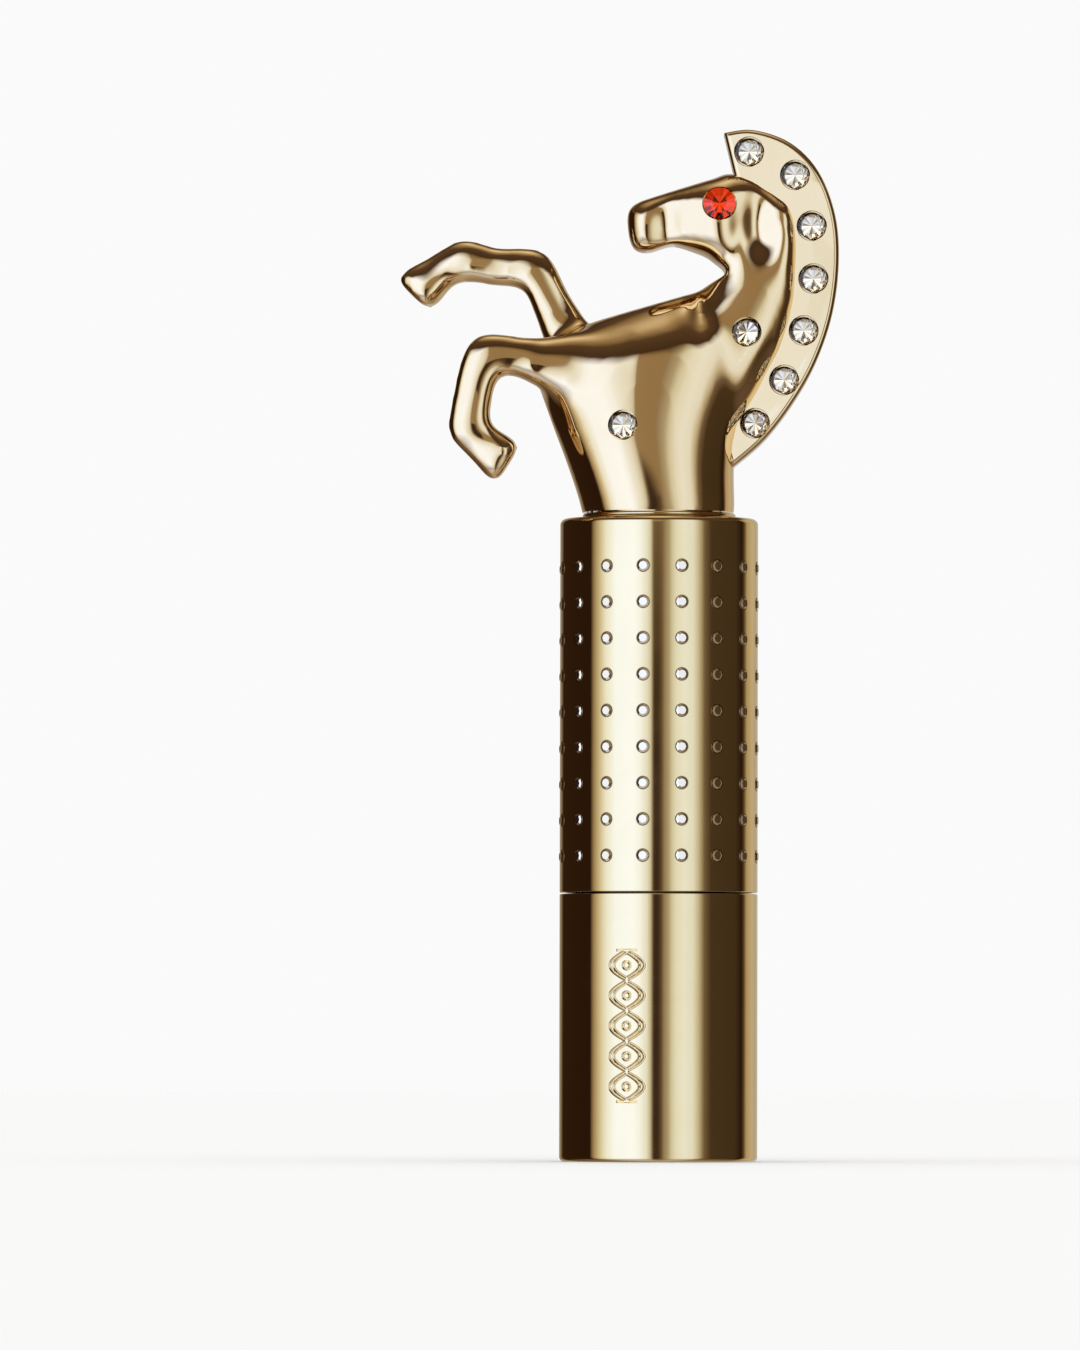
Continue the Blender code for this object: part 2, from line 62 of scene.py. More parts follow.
# Horse sections: x, z, half length, half width, slope of the section in degrees
TORSO = [
    (-0.1, 72.6, 8.6, 8.6, 0),
    (-0.15, 74.4, 8.75, 8.6, 0),
    (-0.95, 79.0, 9.45, 8.6, 0),
    (-1.5, 83.5, 10.6, 8.5, 0),
    (-1.3, 88.0, 12.2, 8.3, 3),
    (-1.1, 91.3, 13.3, 7.9, 6),
    (-1.1, 93.9, 13.2, 6.9, 10),
    (-0.8, 96.0, 11.6, 5.0, 14),
    (-0.4, 97.5, 8.4, 2.9, 16),
]
NECK = [
    (1.6, 83.0, 8.2, 5.4, 8),
    (3.4, 86.6, 8.5, 6.0, 8),
    (5.0, 90.0, 8.7, 6.4, 10),
    (6.9, 93.2, 8.8, 6.2, 12),
    (8.9, 96.8, 7.8, 5.9, 14),
    (11.0, 100.2, 5.9, 5.6, 10),
    (11.9, 103.5, 5.3, 5.6, 2),
    (11.6, 106.8, 5.4, 5.4, -8),
    (10.8, 109.3, 4.8, 5.0, -16),
    (10.2, 111.5, 3.1, 3.9, -22),
]
HEAD = [
    (11.0, 107.2, 4.2, 4.3, 90),
    (8.6, 107.0, 5.1, 5.1, 92),
    (6.4, 106.9, 4.8, 5.2, 97),
    (4.1, 107.0, 4.0, 4.6, 102),
    (1.8, 107.0, 3.35, 3.9, 103),
    (-0.4, 106.5, 3.15, 3.4, 102),
    (-2.4, 106.05, 2.95, 3.1, 100),
    (-3.6, 105.85, 2.1, 2.3, 98),
]
FAR_LEG = [
    (-8.6, 90.8, 3.1, 2.7, 25),
    (-10.6, 94.4, 2.7, 2.4, 28),
    (-12.4, 98.0, 2.25, 2.1, 34),
    (-14.1, 101.4, 2.45, 2.1, 60),
    (-16.5, 102.0, 2.2, 1.95, 86),
    (-18.5, 102.0, 2.15, 1.9, 90),
    (-20.5, 102.5, 2.25, 1.95, 85),
    (-22.5, 102.8, 2.4, 2.05, 92),
    (-24.2, 102.1, 2.1, 1.9, 110),
    (-25.6, 101.1, 2.15, 2.0, 128),
    (-27.0, 100.0, 2.6, 2.3, 135),
    (-28.3, 98.8, 2.5, 2.2, 136),
]
NEAR_LEG = [
    (-6.0, 89.6, 4.6, 2.2, 90),
    (-10.0, 90.0, 4.1, 2.5, 90),
    (-13.2, 90.4, 3.1, 2.4, 92),
    (-15.4, 91.0, 2.35, 2.2, 92),
    (-17.5, 91.5, 2.2, 2.05, 88),
    (-19.5, 91.3, 2.6, 2.1, 125),
    (-20.6, 89.4, 2.25, 2.0, 160),
    (-21.1, 87.2, 2.2, 1.9, 172),
    (-21.5, 85.0, 2.25, 1.95, 176),
    (-21.6, 83.1, 2.4, 2.1, 195),
    (-20.6, 81.9, 2.2, 1.9, 222),
    (-19.4, 80.8, 2.35, 2.05, 236),
    (-18.2, 79.8, 2.65, 2.3, 238),
    (-17.1, 79.0, 2.5, 2.2, 238),
]

# Both legs stand off the middle plane and are turned about their own length; the far one splays out
LEG_SETBACK = 4.2
LEG_SIDES = 28
LEG_SQUARENESS = 4.5
LEG_TURN = math.radians(11)
LEG_SPLAY = math.radians(7)

# Skin of the horse, with rounds of smoothing at each stage
HORSE_VOXEL = 0.435
HORSE_SOFTENING = 9
SKIN_SOFTENING = 3
DETAIL_SOFTENING = 4

# Shoulder of the near leg, smoothed into the chest between these corners
SHOULDER_LOW = Vector((-14.5, -30.0, 83.0))
SHOULDER_HIGH = Vector((-3.0, -2.0, 94.5))
SHOULDER_BLEND = 40

# Moves across the body: amount outwards, centre (x, z), reach (x, z)
RELIEF = [
    (-1.9, (11.4, 106.2), (1.9, 3.8)),
    (-0.25, (8.6, 105.5), (0.7, 4.0)),
    (0.45, (6.2, 106.2), (2.2, 3.2)),
    (0.30, (-2.0, 106.2), (1.2, 2.6)),
    (-0.50, (0.9, 106.4), (1.2, 2.8)),
    (-0.80, (4.5, 96.5), (0.8, 2.2)),
    (0.35, (2.6, 96.8), (1.4, 1.6)),
]

# Outline of the gap under the jaw, which ends in a sharp throat
THROAT_HALF = 12.0
THROAT = [
    (8.4, 101.05), (6.6, 101.95), (4.8, 103.05), (2.9, 103.85), (1.5, 104.3), (-1.0, 103.4), (-1.0, 98.2),
    (1.5, 98.55), (4.6, 99.15), (6.7, 100.3),
]

CREST_OUTER = [
    (7.3, 116.9), (10.6, 117.2), (14.8, 115.7), (18.0, 112.4), (19.9, 107.4), (20.3, 102.0),
    (19.6, 96.3), (17.9, 91.1), (15.4, 86.5), (12.0, 82.0), (8.2, 78.7),
]
CREST_INNER = [(7.5, 80.8), (8.2, 83.8), (8.6, 86.4), (8.8, 90.0), (8.6, 96.0), (10.0, 104.0), (8.6, 111.5)]
CREST_HALF = 3.6
CREST_DRAFT = math.radians(8)
CREST_RIM = 0.6

# Line where the neck meets the face of the crest, and the ledge of the neck in front of it
CREST_CREASE = [
    (7.6, 80.6), (8.4, 83.8), (11.2, 87.6), (13.1, 90.9), (14.2, 94.7), (15.0, 98.0), (15.2, 104.1),
    (14.8, 108.5), (13.6, 111.3),
]
CREASE_WIDTH = 0.9
CREASE_HALF = 2.1
CREASE_BLEND = 8
CREASE_BLEND_REACH = 1.3
LEDGE_LENGTH = 4.6
LEDGE_HALF = 4.2
LEDGE_RISE = 0.8
LEDGE_FADE = 4
LEDGE_LOW = 90.0
LEDGE_HIGH = 110.5

# Stones of the horse
STONE_R = 1.54
EYE_R = 1.82
SEAT_GAP = 0.15
SEAT_DEPTH = 1.2
SEAT_CHAMFER = 0.12
PLEATS = 10

# Spigot under the horse
SPIGOT_R = 7.0
WELL_R = 6.35
WELL_TOP = 79.6
WELL_TIP_R = 4.6
WELL_SHOULDER = 76.0

# Cap studs
STUD_COLUMNS = 16
STUD_ROWS = 9
STUD_TURN = math.radians(-9.8)
STUD_LOW = 34.6
STUD_PITCH = 4.09
STUD_R = 0.68

# Engraved ornament on the base
BRAID_TURN = math.radians(-19.3)
BRAID_LOW = 6.8
BRAID_HIGH = 23.9
BRAID_HALF = 2.1
BRAID_CELLS = 5
BRAID_STRAND = 0.55
BRAID_EYE_R = 0.42
BRAID_BAR = 1.2
BRAID_MARGIN = 0.4
BRAID_ROWS = 290
ENGRAVED_DEPTH = 0.15
ENGRAVED_WIDTH = 0.18


# ---------------------------------------------------------------- mesh helpers

def box_mm(node):
    """Lowest and highest corners of a CAD node at rest."""
    low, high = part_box(node)
    return low / MM, high / MM


def placed(name, bm):
    """An object in the scene that takes over a bmesh."""
    mesh = bpy.data.meshes.new(name)
    bm.to_mesh(mesh)
    bm.free()
    made = bpy.data.objects.new(name, mesh)
    bpy.context.scene.collection.objects.link(made)
    return made


def finished(name, bm, body, slot, looks, replaces=(), sharp=32):
    """Turn a millimetre bmesh into a piece in metres that rides on a body; sharp is in degrees."""
    bmesh.ops.scale(bm, verts=bm.verts, vec=(MM, MM, MM))
    piece = placed(name, bm)
    for look in looks:
        piece.data.materials.append(look)
    if sharp:
        piece.data.shade_smooth()
        piece.data.set_sharp_from_angle(angle=math.radians(sharp))
    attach(piece, body)
    if replaces:
        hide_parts(*replaces)
    return piece


def baked(helper):
    """Evaluate a helper's modifiers into a new bmesh and remove the helper."""
    bpy.context.view_layer.update()
    graph = bpy.context.evaluated_depsgraph_get()
    bm = bmesh.new()
    bm.from_object(helper, graph)
    bpy.data.objects.remove(helper)
    return bm


def arc(centre_r, centre_z, radius, start, stop, steps=5):
    """Points of a part circle in the (r, z) plane, angles in degrees."""
    angles = [math.radians(start + (stop - start) * i / steps) for i in range(steps + 1)]
    return [(centre_r + radius * math.cos(a), centre_z + radius * math.sin(a)) for a in angles]


def upright(radius, low, high, steps):
    """Evenly spaced points of a straight wall, without the last one."""
    return [(radius, low + (high - low) * i / steps) for i in range(steps)]


def wall(radius, low, high, steps):
    """A straight wall from low to high, with a short step at each end so that shading stays flat."""
    edge = 0.05
    return [(radius, low), *upright(radius, low + edge, high - edge, steps), (radius, high - edge)]


def turned(profile, segments=ROUND, close=True, sectors=None):
    """Spin an (r, z) profile about the Z axis; sectors lists (start, angle, steps) for uneven spacing."""
    bm = bmesh.new()
    for start, angle, steps in sectors or [(0.0, math.tau, segments)]:
        verts = [bm.verts.new((r * math.cos(start), r * math.sin(start), z)) for r, z in profile]
        pairs = list(zip(verts, verts[1:]))
        if close:
            pairs.append((verts[-1], verts[0]))
        edges = [bm.edges.new(pair) for pair in pairs]
        bmesh.ops.spin(bm, geom=verts + edges, cent=(0, 0, 0), axis=(0, 0, 1), angle=angle,
                       steps=steps, use_merge=not sectors)
    bmesh.ops.remove_doubles(bm, verts=bm.verts, dist=1e-4)
    bmesh.ops.recalc_face_normals(bm, faces=bm.faces)
    return bm


def facing(place, direction):
    """Matrix that stands a Z-axis shape at place with its top towards direction."""
    return Matrix.Translation(place) @ Vector(direction).to_track_quat("Z", "Y").to_matrix().to_4x4()


def joined(parts):
    """Several bmeshes as one; the parts are used up."""
    whole = bmesh.new()
    for part in parts:
        mesh = bpy.data.meshes.new("part")
        part.to_mesh(mesh)
        part.free()
        whole.from_mesh(mesh)
        bpy.data.meshes.remove(mesh)
    return whole


def soften(bm, verts, rounds):
    """Even out a skin with rounds of smoothing."""
    for _ in range(rounds):
        bmesh.ops.smooth_vert(bm, verts=verts, factor=0.5, use_axis_x=True, use_axis_y=True, use_axis_z=True)


def smooth_run(points, steps):
    """Points of a smooth open curve through the given ones."""
    run = []
    for i in range(len(points) - 1):
        before = Vector(points[max(i - 1, 0)])
        start, stop = Vector(points[i]), Vector(points[i + 1])
        after = Vector(points[min(i + 2, len(points) - 1)])
        for step in range(steps):
            t = step / steps
            bend = (2 * before - 5 * start + 4 * stop - after) * t ** 2
            twist = (3 * (start - stop) + after - before) * t ** 3
            run.append((2 * start + (stop - before) * t + bend + twist) / 2)
    run.append(Vector(points[-1]))
    return run


def bump_at(co, centre, reach):
    """1 at a centre in the side view, falling smoothly to 0; reach is (x, z)."""
    dx = (co.x - centre[0]) / reach[0]
    dz = (co.z - centre[1]) / reach[1]
    return math.exp(-dx * dx - dz * dz)


# ---------------------------------------------------------------- material helpers

def new_group(name, inputs, outputs):
    """A shader node group with named sockets; inputs are (kind, name, default)."""
    group = bpy.data.node_groups.new(name, "ShaderNodeTree")
    for kind, label, default in inputs:
        socket = group.interface.new_socket(label, in_out="INPUT", socket_type=f"NodeSocket{kind}")
        socket.default_value = default
    for kind, label in outputs:
        group.interface.new_socket(label, in_out="OUTPUT", socket_type=f"NodeSocket{kind}")
    return group, group.nodes.new("NodeGroupInput"), group.nodes.new("NodeGroupOutput")


def node(tree, kind, links=None, **settings):
    """Add a node; links maps an input to a source socket or a value."""
    made = tree.nodes.new(f"ShaderNode{kind}")
    for key, value in settings.items():
        setattr(made, key, value)
    for key, value in (links or {}).items():
        if isinstance(value, bpy.types.NodeSocket):
            tree.links.new(value, made.inputs[key])
        else:
            made.inputs[key].default_value = value
    return made


def ramp(tree, factor, stops):
    """A colour ramp from (position, colour) stops."""
    made = node(tree, "ValToRGB", {"Fac": factor})
    elements = made.color_ramp.elements
    for element, (position, _) in zip((elements[0], elements[1]), (stops[0], stops[-1])):
        element.position = position
    for position, _ in stops[1:-1]:
        elements.new(position)
    for element, (_, colour) in zip(elements, stops):
        element.color = (*colour, 1.0) if len(colour) == 3 else colour
    return made


def mix(tree, factor, first, second, blend="MIX"):
    """Mix two colours; each of the three inputs is a source socket or a value."""
    made = node(tree, "Mix", data_type="RGBA", blend_type=blend)
    for index, value in ((0, factor), (6, first), (7, second)):
        if isinstance(value, bpy.types.NodeSocket):
            tree.links.new(value, made.inputs[index])
        else:
            made.inputs[index].default_value = value if index == 0 else (*value, 1.0)
    return made.outputs[2]


def polish_marks_group():
    """Fine buffing lines, smudges and a faint waviness of a polished metal skin."""
    group, given, out = new_group(
        "polish_marks",
        [("Float", "Line Scale", 900.0), ("Float", "Smudge Scale", 90.0), ("Float", "Roughness", 0.1),
         ("Float", "Smudge", 0.08), ("Vector", "Stretch", (1.0, 1.0, 0.05))],
        [("Float", "Roughness"), ("Float", "Height"), ("Float", "Tone")])
    place = node(group, "TexCoord")
    stretched = node(group, "Mapping", {"Vector": place.outputs["Object"], "Scale": given.outputs["Stretch"]})
    lines = node(group, "TexNoise", {"Vector": stretched.outputs[0], "Scale": given.outputs["Line Scale"],
                                     "Detail": 3.0, "Roughness": 0.6})
    smudges = node(group, "TexNoise", {
        "Vector": place.outputs["Object"], "Scale": given.outputs["Smudge Scale"], "Detail": 4.0,
        "Roughness": 0.62, "Distortion": 0.6})
    shaped = node(group, "MapRange", {"Value": smudges.outputs["Fac"], "From Min": 0.45, "From Max": 0.75})
    smear = node(group, "Math", {0: shaped.outputs[0], 1: given.outputs["Smudge"]}, operation="MULTIPLY")
    streak = node(group, "Math", {0: lines.outputs["Fac"], 1: 0.03}, operation="MULTIPLY")
    total = node(group, "Math", {0: smear.outputs[0], 1: streak.outputs[0]}, operation="ADD")
    rough = node(group, "Math", {0: total.outputs[0], 1: given.outputs["Roughness"]}, operation="ADD")
    group.links.new(rough.outputs[0], out.inputs["Roughness"])
    group.links.new(lines.outputs["Fac"], out.inputs["Height"])
    group.links.new(smudges.outputs["Fac"], out.inputs["Tone"])
    return group


def edge_wear_group():
    """Mask of rubbed edges and of dirt in hollows, from the curvature of the mesh."""
    group, given, out = new_group(
        "edge_wear",
        [("Float", "Edge Start", 0.55), ("Float", "Edge End", 0.66), ("Float", "Hollow Start", 0.47),
         ("Float", "Hollow End", 0.38), ("Float", "Break Scale", 700.0)],
        [("Float", "Edge"), ("Float", "Hollow")])
    shape = node(group, "NewGeometry")
    place = node(group, "TexCoord")
    breaks = node(group, "TexNoise", {
        "Vector": place.outputs["Object"], "Scale": given.outputs["Break Scale"], "Detail": 3.0})
    for label in ("Edge", "Hollow"):
        mask = node(group, "MapRange", {
            "Value": shape.outputs["Pointiness"], "From Min": given.outputs[f"{label} Start"],
            "From Max": given.outputs[f"{label} End"]}, interpolation_type="SMOOTHSTEP")
        broken = node(group, "Math", {0: mask.outputs[0], 1: breaks.outputs["Fac"]}, operation="MULTIPLY")
        group.links.new(broken.outputs[0], out.inputs[label])
    return group


def dust_group():
    """Sparse fine specks."""
    group, given, out = new_group(
        "dust_specks", [("Float", "Scale", 1500.0), ("Float", "Size", 0.16)], [("Float", "Mask")])
    place = node(group, "TexCoord")
    cells = node(group, "TexVoronoi", {"Vector": place.outputs["Object"], "Scale": given.outputs["Scale"]})
    speck = node(group, "Math", {0: cells.outputs["Distance"], 1: given.outputs["Size"]},
                 operation="LESS_THAN")
    chosen = node(group, "SeparateColor", {"Color": cells.outputs["Color"]})
    rare = node(group, "Math", {0: chosen.outputs[0], 1: 0.93}, operation="GREATER_THAN")
    both = node(group, "Math", {0: speck.outputs[0], 1: rare.outputs[0]}, operation="MULTIPLY")
    group.links.new(both.outputs[0], out.inputs["Mask"])
    return group


def moulded_grain_group():
    """The light spark-eroded grain and tone drift of moulded plastic."""
    group, given, out = new_group(
        "moulded_grain", [("Float", "Scale", 2500.0), ("Float", "Tone Scale", 60.0)],
        [("Float", "Height"), ("Float", "Tone")])
    place = node(group, "TexCoord")
    grain = node(group, "TexNoise", {"Vector": place.outputs["Object"], "Scale": given.outputs["Scale"],
                                     "Detail": 2.0})
    tone = node(group, "TexNoise", {"Vector": place.outputs["Object"], "Scale": given.outputs["Tone Scale"],
                                    "Detail": 3.0})
    group.links.new(grain.outputs["Fac"], out.inputs["Height"])
    group.links.new(tone.outputs["Fac"], out.inputs["Tone"])
    return group


def use(tree, group, **values):
    """Place a node group, with its values given as keywords in snake case."""
    made = tree.nodes.new("ShaderNodeGroup")
    made.node_tree = group
    for key, value in values.items():
        made.inputs[key.replace("_", " ").title()].default_value = value
    return made


def start_material(name, **values):
    """A new material; values set the shader's own sockets, named in snake case."""
    made = bpy.data.materials.new(name)
    made.use_nodes = True
    tree = made.node_tree
    shader = tree.nodes["Principled BSDF"]
    for key, value in values.items():
        label = {"ior": "IOR"}.get(key, key.replace("_", " ").title())
        shader.inputs[label].default_value = value
    return made, tree, shader


def add_bump(tree, shader, height, strength, distance):
    """Relief of a finish; distance is in metres."""
    made = node(tree, "Bump", {"Height": height, "Strength": strength, "Distance": distance})
    tree.links.new(made.outputs["Normal"], shader.inputs["Normal"])


def add_drift(tree, shader, source, tones):
    """Colour that drifts between two tones."""
    base = ramp(tree, source, [(0.3, tones[0]), (0.7, tones[1])])
    tree.links.new(base.outputs["Color"], shader.inputs["Base Color"])


def add_level(tree, shader, source, low, high, socket="Roughness"):
    """Roughness, or another value of the shader, that wanders between two levels."""
    level = node(tree, "MapRange", {"Value": source, "To Min": low, "To Max": high})
    tree.links.new(level.outputs[0], shader.inputs[socket])


def gold(name, groups, tones, roughness, stretch, smudge):
    """Polished gold: tone drift, buffing lines, smudges, worn edges and darker hollows."""
    made, tree, shader = start_material(name, metallic=1.0)
    marks = use(tree, groups["polish"], roughness=roughness, smudge=smudge, stretch=stretch)
    wear = use(tree, groups["wear"])
    base = ramp(tree, marks.outputs["Tone"], [(0.3, tones[0]), (0.7, tones[1])])
    rubbed = mix(tree, wear.outputs["Edge"], base.outputs["Color"], tones[2])
    soiled = mix(tree, wear.outputs["Hollow"], rubbed, tones[3])
    tree.links.new(soiled, shader.inputs["Base Color"])
    tree.links.new(marks.outputs["Roughness"], shader.inputs["Roughness"])
    add_bump(tree, shader, marks.outputs["Height"], 0.05, 0.000004)
    return made


def lacquer(groups):
    """Satin brown-black lacquer with dust specks and faint rub marks."""
    made, tree, shader = start_material("black_lacquer", coat_weight=0.08, coat_roughness=0.22, ior=1.42,
                                        specular_tint=(1.0, 0.66, 0.44, 1.0))
    marks = use(tree, groups["polish"], roughness=0.34, smudge=0.12, line_scale=500.0)
    dust = use(tree, groups["dust"])
    base = ramp(tree, marks.outputs["Tone"], [(0.3, (0.010, 0.006, 0.004)), (0.7, (0.016, 0.010, 0.008))])
    colour = mix(tree, dust.outputs["Mask"], base.outputs["Color"], (0.10, 0.09, 0.08))
    tree.links.new(colour, shader.inputs["Base Color"])
    tree.links.new(marks.outputs["Roughness"], shader.inputs["Roughness"])
    add_bump(tree, shader, marks.outputs["Height"], 0.08, 0.00001)
    return made


def lip_colour(name, tones, sparkle, roughness):
    """Pearly wax with fine glitter in it; its colour is painted from side to side across the bullet as a
    painted sheen and painted shade, with a soft random drift on top.
    """
    made, tree, shader = start_material(name, coat_weight=0.25, coat_roughness=0.3)
    place = node(tree, "TexCoord")
    drift = node(tree, "TexNoise", {"Vector": place.outputs["Object"], "Scale": 130.0, "Detail": 4.0})
    position = node(tree, "SeparateXYZ", {"Vector": place.outputs["Object"]})
    # Painted sheen and painted shade: the colour runs with X, bright on one side of the bullet and dark on
    # the other, on the cut face too
    across = node(tree, "MapRange", {"Value": position.outputs["X"], "From Min": -0.006, "From Max": 0.006})
    wander = node(tree, "Math", {0: drift.outputs["Fac"], 1: 0.35}, operation="MULTIPLY")
    painted_sheen_and_drift = node(tree, "Math", {0: across.outputs[0], 1: wander.outputs[0]}, operation="ADD")
    base = ramp(tree, painted_sheen_and_drift.outputs[0], tones)
    flakes = node(tree, "TexVoronoi", {"Vector": place.outputs["Object"], "Scale": 9000.0})
    picked = node(tree, "SeparateColor", {"Color": flakes.outputs["Color"]})
    bright = node(tree, "MapRange", {"Value": picked.outputs[0], "From Min": 0.72, "From Max": 1.0})
    colour = mix(tree, bright.outputs[0], base.outputs["Color"], sparkle)
    tree.links.new(colour, shader.inputs["Base Color"])
    add_level(tree, shader, picked.outputs[1], 0.25, 0.75, "Metallic")
    add_level(tree, shader, picked.outputs[2], roughness, roughness + 0.2)
    add_bump(tree, shader, flakes.outputs["Distance"], 0.25, 0.00002)
    return made


def moulded(name, groups, tones, roughness):
    """Moulded plastic with a fine grain."""
    made, tree, shader = start_material(name)
    grain = use(tree, groups["grain"])
    add_drift(tree, shader, grain.outputs["Tone"], tones)
    add_level(tree, shader, grain.outputs["Tone"], roughness, roughness + 0.15)
    add_bump(tree, shader, grain.outputs["Height"], 0.2, 0.00002)
    return made


def turned_metal(name, groups, tones, roughness):
    """Lathe-turned metal: fine rings about the case's axis."""
    made, tree, shader = start_material(name, metallic=1.0)
    place = node(tree, "TexCoord")
    rings = node(tree, "TexWave", {"Vector": place.outputs["Object"], "Scale": 1500.0, "Distortion": 1.5,
                                   "Detail": 2.0}, wave_type="RINGS", rings_direction="Z")
    marks = use(tree, groups["polish"], roughness=roughness, smudge=0.1, stretch=(1.0, 1.0, 1.0))
    add_drift(tree, shader, marks.outputs["Tone"], tones)
    tree.links.new(marks.outputs["Roughness"], shader.inputs["Roughness"])
    add_bump(tree, shader, rings.outputs["Fac"], 0.3, 0.00001)
    return made


def paper():
    """Off-white label paper with a fibre pattern."""
    made, tree, shader = start_material("label_paper")
    place = node(tree, "TexCoord")
    fibres = node(tree, "TexNoise", {"Vector": place.outputs["Object"], "Scale": 1200.0, "Detail": 6.0,
                                     "Distortion": 1.0})
    add_drift(tree, shader, fibres.outputs["Fac"], ((0.74, 0.71, 0.64), (0.88, 0.86, 0.80)))
    add_level(tree, shader, fibres.outputs["Fac"], 0.45, 0.7)
    add_bump(tree, shader, fibres.outputs["Fac"], 0.3, 0.00003)
    return made


def rubber(groups):
    """Matt black rubber of the drag seal."""
    made, tree, shader = start_material("seal_rubber")
    grain = use(tree, groups["grain"], scale=1800.0)
    add_drift(tree, shader, grain.outputs["Tone"], ((0.015, 0.015, 0.015), (0.04, 0.04, 0.04)))
    add_level(tree, shader, grain.outputs["Height"], 0.6, 0.85)
    add_bump(tree, shader, grain.outputs["Height"], 0.3, 0.00003)
    return made


def crystal(name, tones, ior):
    """Clear cut glass, with a slight unevenness in its tint."""
    made, tree, shader = start_material(name, transmission_weight=1.0, ior=ior)
    place = node(tree, "TexCoord")
    drift = node(tree, "TexNoise", {"Vector": place.outputs["Object"], "Scale": 400.0, "Detail": 2.0})
    add_drift(tree, shader, drift.outputs["Fac"], tones)
    add_level(tree, shader, drift.outputs["Fac"], 0.0, 0.02)
    return made


def foil(name, tones):
    """Mirror foil behind a stone."""
    made, tree, shader = start_material(name, metallic=1.0)
    place = node(tree, "TexCoord")
    drift = node(tree, "TexNoise", {"Vector": place.outputs["Object"], "Scale": 900.0, "Detail": 3.0})
    add_drift(tree, shader, drift.outputs["Fac"], tones)
    add_level(tree, shader, drift.outputs["Fac"], 0.03, 0.10)
    return made


def make_materials():
    """Every finish of the case by its short name."""
    groups = {"polish": polish_marks_group(), "wear": edge_wear_group(), "dust": dust_group(),
              "grain": moulded_grain_group()}
    even = (1.0, 1.0, 1.0)
    lengthwise = (1.0, 1.0, 0.04)
    bright_gold = ((0.88, 0.71, 0.41), (0.92, 0.75, 0.45), (0.96, 0.82, 0.56), (0.55, 0.36, 0.15))
    warm_gold = ((0.89, 0.685, 0.40), (0.93, 0.725, 0.44), (0.96, 0.81, 0.56), (0.55, 0.34, 0.15))
    # Near-black gold for the thin rings round the cap studs: painted shade of the gap round each stone
    painted_shade_gold = ((0.10, 0.06, 0.03), (0.16, 0.10, 0.05), (0.5, 0.38, 0.2), (0.04, 0.02, 0.01))
    # The lipstick's own orange and rose with painted sheen and shade: the stops run from one side of the
    # bullet to the other, ending near black
    lip_tones_with_painted_sheen = [(0.15, (0.88, 0.32, 0.12)), (0.45, (0.64, 0.17, 0.10)), (0.8, (0.27, 0.05, 0.04)),
                   (1.0, (0.09, 0.10, 0.02))]
    cut_tones = [(0.1, (0.30, 0.16, 0.03)), (0.9, (0.24, 0.14, 0.03))]
    pale = ((0.70, 0.68, 0.63), (0.80, 0.78, 0.74))
    dark = ((0.02, 0.018, 0.016), (0.035, 0.03, 0.028))
    return {
        "gold": gold("polished_gold", groups, bright_gold, 0.035, lengthwise, 0.04),
        "cast_gold": gold("cast_gold", groups, warm_gold, 0.035, even, 0.04),
        "stud_painted_shade_ring": gold("painted_shade_rim_gold", groups, painted_shade_gold, 0.25, even, 0.2),
        "lacquer": lacquer(groups),
        "lip": lip_colour("lip_colour", lip_tones_with_painted_sheen, (1.0, 0.54, 0.34), 0.38),
        "lip_cut": lip_colour("lip_colour_cut_face", cut_tones, (0.80, 0.58, 0.18), 0.5),
        "plastic": moulded("moulded_plastic", groups, pale, 0.35),
        "dark_plastic": moulded("dark_moulded_plastic", groups, dark, 0.4),
        "steel": turned_metal("turned_steel", groups, ((0.48, 0.48, 0.49), (0.58, 0.58, 0.60)), 0.25),
        "brass": turned_metal("turned_brass", groups, ((0.62, 0.46, 0.20), (0.74, 0.58, 0.30)), 0.22),
        "rubber": rubber(groups),
        "paper": paper(),
        "crystal": crystal("clear_crystal", ((0.96, 0.97, 1.0), (1.0, 1.0, 1.0)), 1.58),
        "red_crystal": crystal("orange_red_crystal", ((0.88, 0.045, 0.008), (0.94, 0.07, 0.014)), 1.55),
        "silver_foil": foil("silver_foil", ((0.91, 0.82, 0.66), (0.98, 0.89, 0.73))),
        "red_foil": foil("warm_foil", ((0.90, 0.72, 0.52), (0.97, 0.80, 0.60))),
    }


# ---------------------------------------------------------------- base

def braid_groove(along, up):
    """Depth of the engraved braid at a point: two crossing waves with a ring in each cell."""
    if not BRAID_LOW - BRAID_MARGIN < up < BRAID_HIGH + BRAID_MARGIN:
        return 0.0
    cell = (BRAID_HIGH - BRAID_LOW) / BRAID_CELLS
    phase = math.pi * (up - BRAID_LOW) / cell
    slope = BRAID_HALF * math.pi / cell * math.cos(phase)
    wave = BRAID_HALF * math.sin(phase)
    middle = BRAID_LOW + (math.floor((up - BRAID_LOW) / cell) + 0.5) * cell
    distances = [abs(math.hypot(along, up - middle) - BRAID_EYE_R)]
    if BRAID_LOW < up < BRAID_HIGH:
        for sign in (1, -1):
            for inset in (0.0, BRAID_STRAND):
                level = sign * (wave - math.copysign(min(inset, abs(wave)), wave))
                distances.append(abs(along - level) / math.sqrt(1 + slope * slope))
    if abs(along) < BRAID_BAR:
        distances += [abs(up - BRAID_LOW), abs(up - BRAID_HIGH)]
    nearest = min(distances)
    return ENGRAVED_DEPTH * max(0.0, 1.0 - (nearest / ENGRAVED_WIDTH) ** 2) ** 2


def engrave(bm, radius):
    """Push the outer wall in along the braid."""
    for vert in bm.verts:
        reach = math.hypot(vert.co.x, vert.co.y)
        if abs(reach - radius) > 0.01:
            continue
        heading = math.atan2(vert.co.x, -vert.co.y) - BRAID_TURN
        along = heading * radius
        if abs(along) > BRAID_HALF + BRAID_MARGIN:
            continue
        depth = braid_groove(along, vert.co.z)
        if depth > 0:
            vert.co.x *= (radius - depth) / radius
            vert.co.y *= (radius - depth) / radius


